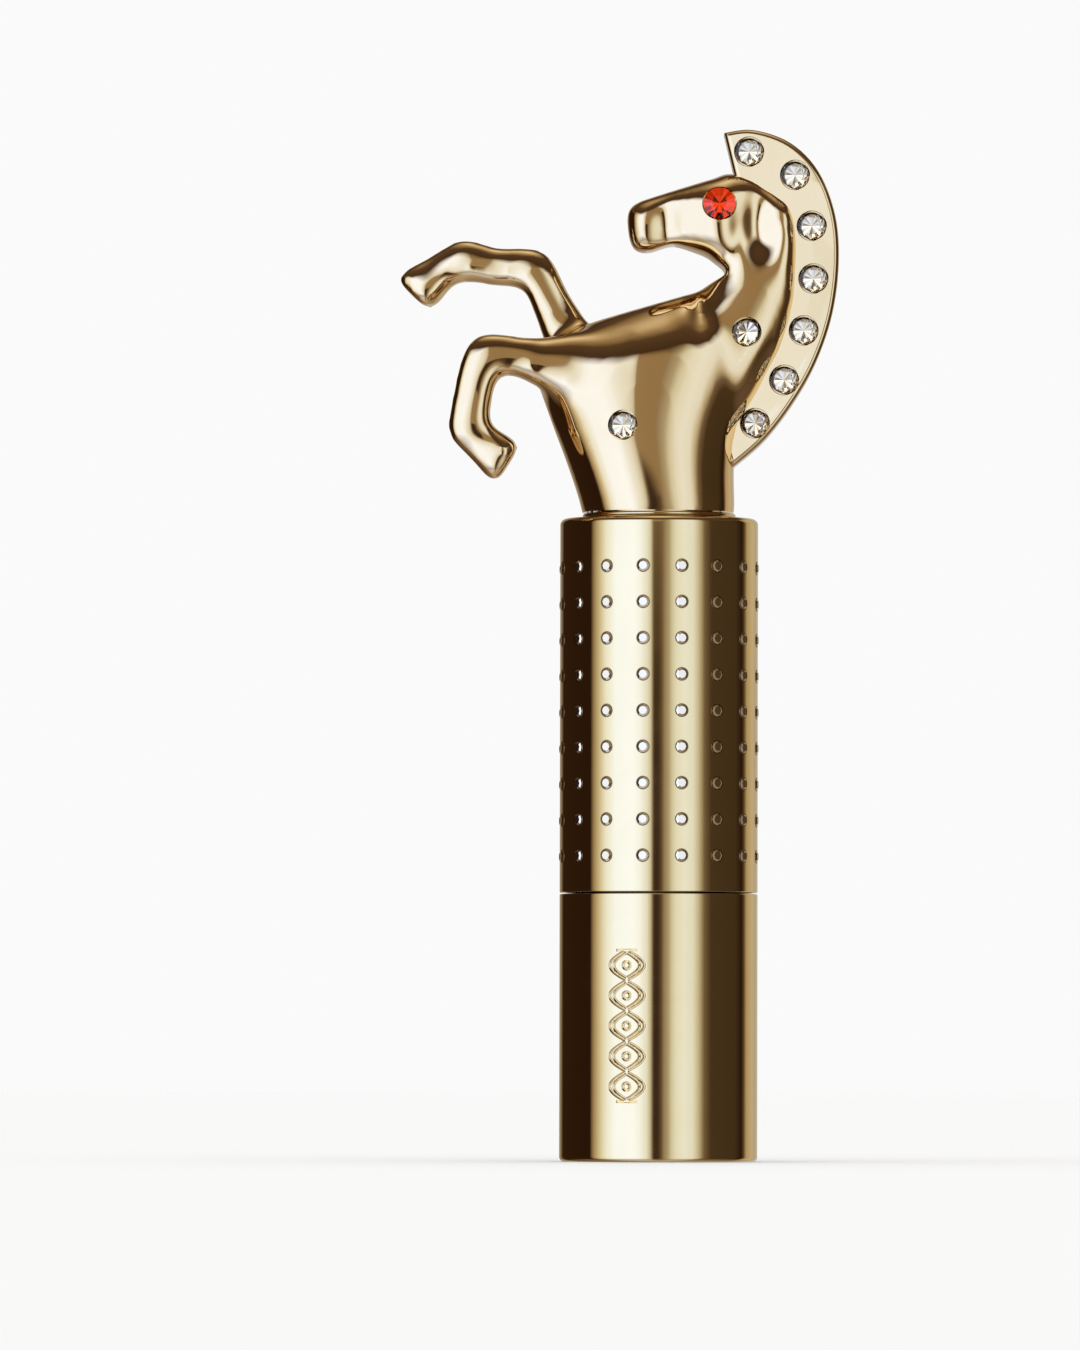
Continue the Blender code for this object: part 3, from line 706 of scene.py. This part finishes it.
def build_base(looks):
    """The gold cup with its label recess and engraving, and the insert in it."""
    low, high = box_mm("base_shell")
    radius = high.x
    top = high.z
    foot_edge = 0.5
    floor_top = 1.1
    depth = 0.35
    recess = box_mm("shade_label")[1].x + 0.2
    braid_low = BRAID_LOW - BRAID_MARGIN
    braid_high = BRAID_HIGH + BRAID_MARGIN
    profile = [(0, depth), (recess - 0.15, depth), (recess - 0.04, depth - 0.05), (recess, depth - 0.15)]
    profile += [(recess, 0.06), (recess + 0.06, 0)] + arc(radius - foot_edge, foot_edge, foot_edge, -90, 0)
    profile += wall(radius, foot_edge, braid_low, 3)[1:]
    profile += upright(radius, braid_low, braid_high, BRAID_ROWS)[1:]
    profile += wall(radius, braid_high, top - MOUTH_R, 4)
    profile += arc(radius - MOUTH_R, top - MOUTH_R, MOUTH_R, 0, 90, 4)
    profile += arc(radius - SHELL_WALL + 0.1, top - 0.1, 0.1, 90, 180, 3)
    profile += [(radius - SHELL_WALL, top - 0.6), (radius - SHELL_WALL, floor_top), (0, floor_top)]
    half = (BRAID_HALF + BRAID_MARGIN) / radius
    centre = BRAID_TURN - math.pi / 2
    sectors = [(centre - half, 2 * half, 96), (centre + half, math.tau - 2 * half, 144)]
    bm = turned(profile, close=False, sectors=sectors)
    engrave(bm, radius)
    finished("base_shell_polished", bm, "base", "gold", [looks["gold"]], ["base_shell"])

    low, high = box_mm("base_liner")
    bore = box_mm("black_sleeve")[1].x + 0.2
    socket = box_mm("guide_tube")[1].x + 0.12
    floor = box_mm("guide_tube")[0].z - 0.12
    shoulder = 11.5
    profile = [(0, low.z), (high.x, low.z), (high.x, high.z - 0.2), (high.x - 0.2, high.z)]
    profile += [(bore + 0.35, high.z), (bore + 0.1, high.z - 0.1), (bore, high.z - 0.35)]
    profile += [(bore, shoulder), (socket, shoulder), (socket, floor), (0, floor)]
    finished("base_insert", turned(profile, 120, close=False), "base", "moulded_plastic",
             [looks["dark_plastic"]], ["base_liner"])


# ---------------------------------------------------------------- sleeve and bullet

def build_sleeve(looks):
    """The black tube with its inward lip."""
    low, high = box_mm("black_sleeve")
    outer = high.x
    inner = outer - 0.5
    lip_r = 6.5
    edge = 0.5
    profile = [(inner, low.z), (outer - 0.1, low.z)] + wall(outer, low.z + 0.1, high.z - edge, 4)
    profile += arc(outer - edge, high.z - edge, edge, 0, 90, 8)
    profile += arc(lip_r + MOUTH_R, high.z - MOUTH_R, MOUTH_R, 90, 180, 4)
    profile += [(lip_r, high.z - 0.5), (inner, high.z - 0.6)]
    finished("sleeve_lacquered", turned(profile), "sleeve", "black_lacquer", [looks["lacquer"]],
             ["black_sleeve"])


def build_bullet(looks):
    """The bullet: a pointed arch spun round, cut by a slanting plane that leaves the facet."""
    foot = box_mm("bullet")[0].z
    radius = 6.05
    length = 33.0
    ogive_r = 24.7
    ogive_length = 13.0
    tip = foot + length
    rise_total = math.sqrt(ogive_r ** 2 - (ogive_r - radius) ** 2)
    profile = [(0, foot), (radius - 0.3, foot), (radius, foot + 0.3)]
    steps = 30
    for i in range(steps + 1):
        rise = rise_total * i / steps
        reach = math.sqrt(ogive_r ** 2 - rise ** 2) - (ogive_r - radius)
        profile.append((max(reach, 0.0), tip - ogive_length + rise))
    bm = turned(profile, 96, close=False)
    facing_angle = math.radians(-59.6)
    heading = Vector((math.cos(facing_angle), math.sin(facing_angle), 0))
    slope = math.radians(42)
    normal = heading * math.sin(slope) + UP * math.cos(slope)
    tip_radius = math.sqrt(ogive_r ** 2 - ogive_length ** 2) - (ogive_r - radius)
    high_point = UP * tip - heading * tip_radius
    made = bmesh.ops.bisect_plane(bm, geom=bm.verts[:] + bm.edges[:] + bm.faces[:], dist=1e-4,
                                  plane_co=high_point, plane_no=normal, clear_outer=True)
    rim = [part for part in made["geom_cut"] if isinstance(part, bmesh.types.BMEdge)]
    facet = bmesh.ops.contextual_create(bm, geom=rim)["faces"][0]
    facet.material_index = 1
    bmesh.ops.bevel(bm, geom=facet.edges[:], offset=0.16, offset_type="OFFSET", segments=3, profile=0.5,
                    affect="EDGES", material=-1)
    finished("lip_bullet", bm, "carrier", "lip_colour", [looks["lip"], looks["lip_cut"]], ["bullet"])


# ---------------------------------------------------------------- cap

def stud_places(radius):
    """Matrices that stand a Z-axis stud on the cap's wall."""
    for column in range(STUD_COLUMNS):
        heading = STUD_TURN + math.tau * column / STUD_COLUMNS
        outward = Vector((math.sin(heading), -math.cos(heading), 0))
        for row in range(STUD_ROWS):
            yield facing(outward * radius + UP * (STUD_LOW + STUD_PITCH * row), outward)


def stamped(shape, places):
    """Copies of one small bmesh at each place, in a single mesh."""
    mesh = bpy.data.meshes.new("stamp")
    shape.to_mesh(mesh)
    shape.free()
    whole = bmesh.new()
    for place in places:
        start = len(whole.verts)
        whole.from_mesh(mesh)
        whole.verts.ensure_lookup_table()
        bmesh.ops.transform(whole, verts=whole.verts[start:], matrix=place)
    bpy.data.meshes.remove(mesh)
    return whole


def build_cap(looks):
    """The gold tube with its studs, the insert that grips the sleeve, and the neck ring."""
    low, high = box_mm("cap_shell")
    radius = high.x
    edge = 0.7
    ceiling = high.z - SHELL_WALL
    profile = arc(radius - SHELL_WALL + 0.1, low.z + 0.1, 0.1, 180, 270, 3)
    profile += arc(radius - MOUTH_R, low.z + MOUTH_R, MOUTH_R, -90, 0, 4)
    profile += wall(radius, low.z + MOUTH_R, high.z - edge, 4)[1:]
    profile += arc(radius - edge, high.z - edge, edge, 0, 90, 10)
    profile += [(RING_SEAT_R, high.z), (CAP_HOLE_R, high.z)]
    profile += [(CAP_HOLE_R, ceiling), (radius - SHELL_WALL, ceiling)]
    finished("cap_shell_polished", turned(profile), "cap", "gold", [looks["gold"]], ["cap_shell"])

    under = -0.1
    stud = turned([(0, 0.17), (0.48, 0.17), (STUD_R, 0.04), (STUD_R, under), (0, under)], 8, close=False)
    finished("cap_crystals", stamped(stud, stud_places(radius)), "cap", "crystal", [looks["silver_foil"]],
             sharp=12)
    # A thin dark ring raised just off the wall round each stud: painted shade standing in for the shadowed
    # gap round the stone
    inner = STUD_R - 0.03
    rim = turned([(inner, under), (inner, 0.03), (STUD_R + 0.1, 0.03), (STUD_R + 0.12, under)], 20)
    finished("cap_stud_painted_shade_rings", stamped(rim, stud_places(radius)), "cap", "gold", [looks["stud_painted_shade_ring"]], sharp=50)

    low, high = box_mm("cap_liner")
    grip = 8.6
    room = 9.6
    grip_top = 63.0
    ceiling = 71.4
    profile = [(grip + 0.15, low.z), (high.x - 0.2, low.z), (high.x, low.z + 0.2), (high.x, high.z)]
    profile += [(CAP_HOLE_R, high.z), (CAP_HOLE_R, ceiling), (room, ceiling), (room, grip_top + 1.0)]
    profile += [(grip, grip_top), (grip, low.z + 0.5)]
    finished("cap_insert", turned(profile, 120), "cap", "moulded_plastic", [looks["dark_plastic"]],
             ["cap_liner"])

    low, high = box_mm("neck_ring")
    outer = high.x
    middle = (low.z + high.z) / 2
    half = (high.z - low.z) / 2
    profile = [(CAP_HOLE_R, low.z), (outer - half, low.z)]
    profile += arc(outer - half, middle, half, -90, 90, 8)[1:] + [(CAP_HOLE_R, high.z)]
    finished("neck_ring_polished", turned(profile), "cap", "gold", [looks["gold"]], ["neck_ring"])


# ---------------------------------------------------------------- horse

def smooth_stations(stations, steps=3):
    """More sections between the given ones, along smooth curves."""
    places = smooth_run([(x, z) for x, z, *_ in stations], steps)
    sizes = smooth_run([(length, width) for _, _, length, width, _ in stations], steps)
    slopes = smooth_run([(slope, 0) for *_, slope in stations], steps)
    return [(*place, *size, slope.x) for place, size, slope in zip(places, sizes, slopes)]


def loft(stations, sides, squareness, across=0.0, turn=0.0):
    """Bridge rounded sections, turned about the limb; squareness 2 is an ellipse and more is boxier."""
    bm = bmesh.new()
    loops = []
    for x, z, half_length, half_width, slope in smooth_stations(stations):
        ring = bmesh.ops.create_circle(bm, segments=sides, radius=1.0)["verts"]
        for vert in ring:
            spread = abs(vert.co.x) ** squareness + abs(vert.co.y) ** squareness
            vert.co *= spread ** (-1 / squareness)
        bmesh.ops.scale(bm, verts=ring, vec=(half_length, half_width, 1.0))
        bmesh.ops.rotate(bm, verts=ring, cent=(0, 0, 0), matrix=Matrix.Rotation(turn, 3, "Z"))
        tilt = Matrix.Rotation(-math.radians(slope), 3, "Y")
        bmesh.ops.rotate(bm, verts=ring, cent=(0, 0, 0), matrix=tilt)
        bmesh.ops.translate(bm, verts=ring, vec=(x, across, z))
        loops.append(set(ring))
    for lower, upper in zip(loops, loops[1:]):
        edges = [e for e in bm.edges if lower.issuperset(e.verts) or upper.issuperset(e.verts)]
        bmesh.ops.bridge_loops(bm, edges=edges)
    for end in (loops[0], loops[-1]):
        bmesh.ops.contextual_create(bm, geom=[e for e in bm.edges if end.issuperset(e.verts)])
    bmesh.ops.recalc_face_normals(bm, faces=bm.faces)
    return bm


def crest_crease(up):
    """How far along X the neck meets the face of the crest at a height."""
    for (x_low, z_low), (x_high, z_high) in zip(CREST_CREASE, CREST_CREASE[1:]):
        if z_low <= up <= z_high:
            return x_low + (x_high - x_low) * (up - z_low) / (z_high - z_low)
    return math.inf


def shape_details(bm):
    """Hollows and swellings of both flanks, and the neck's ledge and drop at the crest."""
    for vert in bm.verts:
        half = abs(vert.co.y)
        if half < 1.0:
            continue
        half += sum(amount * bump_at(vert.co, centre, reach) for amount, centre, reach in RELIEF)
        past = (vert.co.x - crest_crease(vert.co.z)) / CREASE_WIDTH
        if past > 0:
            half -= max(half - CREASE_HALF, 0.0) * min(past, 1.0)
        elif past > -LEDGE_LENGTH / CREASE_WIDTH and vert.co.z > LEDGE_LOW:
            rise = 1 + past * CREASE_WIDTH / LEDGE_LENGTH
            ends = min(vert.co.z - LEDGE_LOW, LEDGE_HIGH - vert.co.z) / LEDGE_FADE
            lift = min(max(ends, 0.0), 1.0) * min(2 * rise, 1.0)
            half += max(LEDGE_HALF + LEDGE_RISE * rise - half, 0.0) * lift
        vert.co.y = math.copysign(half, vert.co.y)


def prism(outline, half):
    """An (x, z) outline drawn out to both sides of the middle plane."""
    bm = bmesh.new()
    face = bm.faces.new([bm.verts.new((x, -half, z)) for x, z in outline])
    grown = bmesh.ops.extrude_face_region(bm, geom=[face])
    moved = [part for part in grown["geom"] if isinstance(part, bmesh.types.BMVert)]
    bmesh.ops.translate(bm, verts=moved, vec=(0, 2 * half, 0))
    bmesh.ops.recalc_face_normals(bm, faces=bm.faces)
    return bm


def crest_plate():
    """The flat crest, a little thicker towards its rounded rim."""
    bm = prism(smooth_run(CREST_OUTER, 6) + smooth_run(CREST_INNER, 5), CREST_HALF)
    middle = (CREST_INNER[0][0] + CREST_OUTER[5][0]) / 2
    for vert in bm.verts:
        vert.co.y *= 1 + (vert.co.x - middle) * math.tan(CREST_DRAFT) / CREST_HALF
    rims = [e for e in bm.edges
            if e.calc_face_angle(0) > 1.0 and abs(e.verts[0].co.y - e.verts[1].co.y) < 0.5]
    bmesh.ops.bevel(bm, geom=rims, offset=CREST_RIM, offset_type="OFFSET", segments=5, profile=0.5,
                    affect="EDGES", material=-1)
    return bm


def seat_cutter(place, normal, radius):
    """Pocket for a stone: a bore with a chamfered mouth."""
    bore = radius + SEAT_GAP
    mouth = bore + SEAT_CHAMFER
    clear = 1.5
    profile = [(0, -SEAT_DEPTH), (bore, -SEAT_DEPTH), (bore, -0.05), (mouth, SEAT_CHAMFER - 0.05)]
    profile += [(mouth, clear), (0, clear)]
    bm = turned(profile, 48, close=False)
    bmesh.ops.transform(bm, verts=bm.verts, matrix=facing(place, normal))
    return bm


def surface_at(tree, x, z, side, reach=1.0):
    """Where a line along Y meets the casting on one side, and the mean normal there."""
    hits = []
    for dx, dz in ((0, 0), (reach, 0), (-reach, 0), (0, reach), (0, -reach)):
        place, normal, _, _ = tree.ray_cast(Vector((x + dx, side * 30, z + dz)), Vector((0, -side, 0)))
        hits.append((place, normal))
    return hits[0][0], sum((n for _, n in hits), Vector()).normalized()


def cut_stone(radius, table, pleat_depth, culet):
    """A low cut stone: table, faceted crown, girdle, and a pleated back that carries the foil."""
    bm = bmesh.new()
    rings = []
    for reach, height, pleat in [(table, 0.12, 0.0), (1.0, -0.02, 0.0), (1.0, -0.11, pleat_depth)]:
        ring = bmesh.ops.create_circle(bm, segments=2 * PLEATS, radius=radius * reach)["verts"]
        for index, vert in enumerate(ring):
            vert.co.z = radius * (height - pleat * (index % 2))
        rings.append(set(ring))
    for upper, lower in zip(rings, rings[1:]):
        edges = [e for e in bm.edges if upper.issuperset(e.verts) or lower.issuperset(e.verts)]
        bmesh.ops.bridge_loops(bm, edges=edges)
    for ring in (rings[0], rings[-1]):
        back = bmesh.ops.contextual_create(bm, geom=[e for e in bm.edges if ring.issuperset(e.verts)])
    foiled = bmesh.ops.poke(bm, faces=back["faces"])
    foiled["verts"][0].co.z = -culet * radius
    bmesh.ops.recalc_face_normals(bm, faces=bm.faces)
    for face in foiled["faces"]:
        face.material_index = 1
    return bm


def build_stone(node_name, place, normal, looks):
    """A stone of the horse in its seat, in place of its CAD node."""
    if node_name.startswith("eye"):
        bm = cut_stone(EYE_R, 0.45, 0.035, 0.22)
        glass, mirror, slot = "red_crystal", "red_foil", "red_crystal"
    else:
        bm = cut_stone(STONE_R, 0.62, 0.065, 0.30)
        glass, mirror, slot = "crystal", "silver_foil", "crystal"
    bmesh.ops.transform(bm, verts=bm.verts, matrix=facing(place, normal))
    finished(f"{node_name}_cut", bm, "cap", slot, [looks[glass], looks[mirror]], [node_name], sharp=0)


def remeshed(parts, rounds):
    """One even skin over overlapping parts, softened by rounds of smoothing."""
    blank = placed("blank", parts)
    skin = blank.modifiers.new("skin", "REMESH")
    skin.mode = "VOXEL"
    skin.voxel_size = HORSE_VOXEL
    bm = baked(blank)
    soften(bm, bm.verts, rounds)
    return bm


def horse_body():
    """Torso, neck, head and legs as one skin, with the throat cut in."""
    legs = [loft(stations, LEG_SIDES, LEG_SQUARENESS, across, LEG_TURN)
            for stations, across in ((FAR_LEG, LEG_SETBACK), (NEAR_LEG, -LEG_SETBACK))]
    root = (FAR_LEG[1][0], LEG_SETBACK, 0)
    bmesh.ops.rotate(legs[0], verts=legs[0].verts, cent=root, matrix=Matrix.Rotation(-LEG_SPLAY, 3, "Z"))
    trunk = [loft(TORSO, 64, 2.3), loft(NECK, 48, 3.0), loft(HEAD, 48, 4.2)]
    limbs = joined(trunk + legs)
    body = placed("horse_body", remeshed(limbs, HORSE_SOFTENING))
    run_booleans(body, [(placed("throat", prism(THROAT, THROAT_HALF)), "DIFFERENCE")])
    bm = remeshed(baked(body), SKIN_SOFTENING)
    low, high = SHOULDER_LOW, SHOULDER_HIGH
    shoulder = [v for v in bm.verts if all(a < b < c for a, b, c in zip(low, v.co, high))]
    soften(bm, shoulder, SHOULDER_BLEND)
    shape_details(bm)
    soften(bm, bm.verts, DETAIL_SOFTENING)
    crease = [v for v in bm.verts if abs(v.co.x - crest_crease(v.co.z)) < CREASE_BLEND_REACH]
    soften(bm, crease, CREASE_BLEND)
    body = placed("horse_body", bm)
    finer = body.modifiers.new("finer", "SUBSURF")
    finer.levels = 1
    finer.render_levels = 1
    return placed("horse_body", baked(body))


def build_horse(looks):
    """The casting with its seats and spigot, and a stone in every seat."""
    foot = box_mm("finial_horse")[0].z
    ring_top = box_mm("neck_ring")[1].z
    islands = {"crest": placed("crest", crest_plate()), "body": horse_body()}
    bpy.context.view_layer.update()
    graph = bpy.context.evaluated_depsgraph_get()
    trees = {key: BVHTree.FromObject(island, graph) for key, island in islands.items()}
    cutters = {"crest": [], "body": []}
    for name in sorted(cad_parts):
        if "_stone_" not in name:
            continue
        low, high = box_mm(name)
        centre = (low + high) / 2
        island = "crest" if name.startswith("crest") else "body"
        place, normal = surface_at(trees[island], centre.x, centre.z, math.copysign(1, centre.y))
        cutters[island].append(seat_cutter(place, normal, EYE_R if name.startswith("eye") else STONE_R))
        build_stone(name, place, normal, looks)
    for key, tools in cutters.items():
        run_booleans(islands[key], [(placed("seats", joined(tools)), "DIFFERENCE")])

    gap_under = 0.12
    depth = 10
    below = bmesh.new()
    place = Matrix.Translation((0, 0, ring_top + gap_under - depth / 2)) @ Matrix.Diagonal((60, 60, depth, 1))
    bmesh.ops.create_cube(below, size=1.0, matrix=place)
    start = ring_top - 3
    profile = [(0, start), (WELL_R, start), (WELL_R, WELL_SHOULDER), (WELL_TIP_R, WELL_TOP), (0, WELL_TOP)]
    well = turned(profile, 96, close=False)
    root = ring_top + 1.0
    spigot = turned([(SPIGOT_R, foot), (SPIGOT_R, root), (WELL_R, root), (WELL_R, foot)], 96)
    run_booleans(islands["body"], [
        (placed("below", below), "DIFFERENCE"), (placed("well", well), "DIFFERENCE"),
        (placed("spigot", spigot), "UNION")])
    casting = joined([baked(islands["body"]), baked(islands["crest"])])
    horse = finished("horse_casting", casting, "cap", "gold_casting", [looks["cast_gold"]],
                     ["finial_horse"], sharp=40)
    even = horse.modifiers.new("even_shading", "WEIGHTED_NORMAL")
    even.keep_sharp = True


def run_booleans(target, tools):
    """Apply Boolean tools to a helper object and remove them."""
    for tool, operation in tools:
        step = target.modifiers.new("cut", "BOOLEAN")
        step.operation = operation
        step.object = tool
        bpy.context.view_layer.update()
        graph = bpy.context.evaluated_depsgraph_get()
        result = bpy.data.meshes.new_from_object(target.evaluated_get(graph))
        target.modifiers.clear()
        target.data = result
        bpy.data.objects.remove(tool)


# ---------------------------------------------------------------- kept inner pieces

def dress_inner_pieces(looks):
    """Finishes for the CAD pieces of the mechanism that stay as they are."""
    kept = {"base_weight": "steel", "lock_washer": "steel", "locating_pin": "steel", "ring_nut": "brass",
            "guide_tube": "plastic", "spiral_sleeve": "plastic", "carrier_cup": "plastic",
            "drag_ring": "rubber", "shade_label": "paper"}
    for name, look in kept.items():
        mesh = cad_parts[name].data
        mesh.materials.clear()
        mesh.materials.append(looks[look])


# ---------------------------------------------------------------- studio

def studio_world():
    """Soft panels and dark flags round the object, as a sky seen only in reflections."""
    world = bpy.data.worlds.new("studio")
    bpy.context.scene.world = world
    world.use_nodes = True
    tree = world.node_tree
    tree.nodes.clear()
    place = node(tree, "TexCoord")
    parts = node(tree, "SeparateXYZ", {"Vector": place.outputs["Generated"]})
    flipped = node(tree, "Math", {0: parts.outputs["Y"], 1: -1.0}, operation="MULTIPLY")
    heading = node(tree, "Math", {0: parts.outputs["X"], 1: flipped.outputs[0]}, operation="ARCTAN2")
    turn = node(tree, "MapRange", {"Value": heading.outputs[0], "From Min": -math.pi, "From Max": math.pi})
    lift = node(tree, "Math", {0: parts.outputs["Z"]}, operation="ARCSINE")
    height = node(tree, "MapRange", {"Value": lift.outputs[0], "From Min": -math.pi / 2,
                                     "From Max": math.pi / 2})

    def at(degrees):
        """Ramp position of a heading; 0 is behind the camera and 90 is towards +X."""
        return (degrees + 180) / 360

    def up(degrees):
        """Ramp position of a height above the horizon."""
        return (degrees + 90) / 180

    ring = ramp(tree, turn.outputs[0], [
        (0.0, (0.45, 0.40, 0.36)), (at(-158), (0.24, 0.18, 0.11)), (at(-149), (0.03, 0.014, 0.006)),
        (at(-87), (0.022, 0.010, 0.005)), (at(-82), (0.35, 0.27, 0.17)), (at(-75), (0.62, 0.58, 0.44)),
        (at(-65), (0.93, 1.05, 1.22)), (at(-52), (1.06, 1.29, 1.88)), (at(-30), (1.09, 1.32, 1.95)),
        (at(-18), (1.0, 1.17, 1.58)), (at(0), (0.90, 1.02, 1.30)), (at(18), (0.86, 0.96, 1.10)),
        (at(30), (0.90, 1.03, 1.26)), (at(40), (0.84, 0.95, 1.10)), (at(47), (0.6, 0.58, 0.5)),
        (at(54), (0.18, 0.13, 0.085)), (at(63), (0.065, 0.042, 0.022)), (at(100), (0.055, 0.036, 0.02)),
        (at(113), (0.02, 0.010, 0.005)), (at(118), (0.10, 0.06, 0.03)), (at(125), (0.48, 0.39, 0.24)),
        (at(140), (0.57, 0.50, 0.38)), (at(152), (0.47, 0.42, 0.33)), (1.0, (0.6, 0.58, 0.6))])
    gap = ramp(tree, turn.outputs[0], [
        (at(-22), (1.0, 1.0, 1.0)), (at(-14), (0.88, 0.86, 0.76)), (at(-10), (0.72, 0.64, 0.48)),
        (at(-8), (0.30, 0.22, 0.13)), (at(-6.5), (0.05, 0.025, 0.011)), (at(-1), (0.05, 0.027, 0.013)),
        (at(3), (0.14, 0.085, 0.045)), (at(6), (0.36, 0.26, 0.15)), (at(11), (0.52, 0.43, 0.28)),
        (at(15), (0.82, 0.77, 0.65)), (at(20), (0.97, 0.97, 0.93)), (at(27), (1.0, 1.0, 1.0))])
    gap_top = node(tree, "MapRange", {"Value": lift.outputs[0], "From Min": math.radians(1.9),
                                      "From Max": math.radians(3.7)})
    lit_gap = mix(tree, 1.0, gap.outputs["Color"], (0.36, 0.235, 0.11), "LIGHTEN")
    gap_seen = mix(tree, gap_top.outputs[0], gap.outputs["Color"], (1.0, 1.0, 1.0))
    tree.links.new(lit_gap, gap_seen.node.inputs[7])
    panels = mix(tree, 1.0, ring.outputs["Color"], gap_seen, "MULTIPLY")
    vertical = ramp(tree, height.outputs[0], [
        (0.0, (0.50, 0.42, 0.36, 1.0)), (up(-72), (0.42, 0.34, 0.26, 0.9)),
        (up(-55), (0.36, 0.28, 0.20, 0.62)), (up(-40), (0.20, 0.14, 0.09, 0.7)),
        (up(-22), (0.3, 0.2, 0.15, 0.0)), (up(24), (0.3, 0.2, 0.1, 0.0)),
        (up(34), (0.06, 0.035, 0.02, 1.0)), (up(54), (0.10, 0.06, 0.035, 1.0)),
        (up(68), (0.35, 0.26, 0.15, 1.0)), (1.0, (0.9, 0.8, 0.65, 1.0))])
    around = mix(tree, vertical.outputs["Alpha"], panels, (0, 0, 0))
    tree.links.new(vertical.outputs["Color"], around.node.inputs[7])
    seen = node(tree, "LightPath")
    shown = mix(tree, seen.outputs["Is Camera Ray"], around, (0.955, 0.955, 0.955))
    background = node(tree, "Background", {"Color": shown, "Strength": 1.0})
    out = node(tree, "OutputWorld")
    tree.links.new(background.outputs[0], out.inputs["Surface"])


def studio():
    """The pale floor, the soft light from above and the camera."""
    scene = bpy.context.scene
    scene.view_settings.view_transform = "Standard"
    bm = bmesh.new()
    just_under = Matrix.Translation((0, 0, -0.00002))
    bmesh.ops.create_grid(bm, x_segments=2, y_segments=2, size=3.0, matrix=just_under)
    floor = placed("floor", bm)
    look, _, shader = start_material("pale_floor", base_color=(0.875, 0.904, 0.924, 1.0), roughness=0.9)
    shader.inputs["Specular IOR Level"].default_value = 0.0
    floor.data.materials.append(look)
    floor.visible_glossy = False
    floor.visible_transmission = False

    light = bpy.data.lights.new("overhead", "SUN")
    light.energy = 2.6
    light.angle = math.radians(100)
    lamp = bpy.data.objects.new("overhead", light)
    lamp.location = (0.0, 0.0, 1.0)
    lamp.visible_glossy = False
    scene.collection.objects.link(lamp)

    camera = bpy.data.cameras.new("camera")
    camera.lens = 314.4
    camera.clip_start = 0.05
    camera.clip_end = 10.0
    view = bpy.data.objects.new("camera", camera)
    scene.collection.objects.link(view)
    aside = -0.01353
    distance = 1.34
    eye_height = 0.011
    aim_height = 0.05525
    view.location = (aside, -distance, eye_height)
    aim = Vector((aside, 0.0, aim_height)) - view.location
    lean = Matrix.Rotation(math.radians(0.12), 4, "Z")
    view.rotation_euler = (aim.to_track_quat("-Z", "Y").to_matrix().to_4x4() @ lean).to_euler()
    scene.camera = view


# ---------------------------------------------------------------- whole case

looks = make_materials()
build_base(looks)
build_sleeve(looks)
build_bullet(looks)
build_cap(looks)
build_horse(looks)
dress_inner_pieces(looks)
studio()
studio_world()
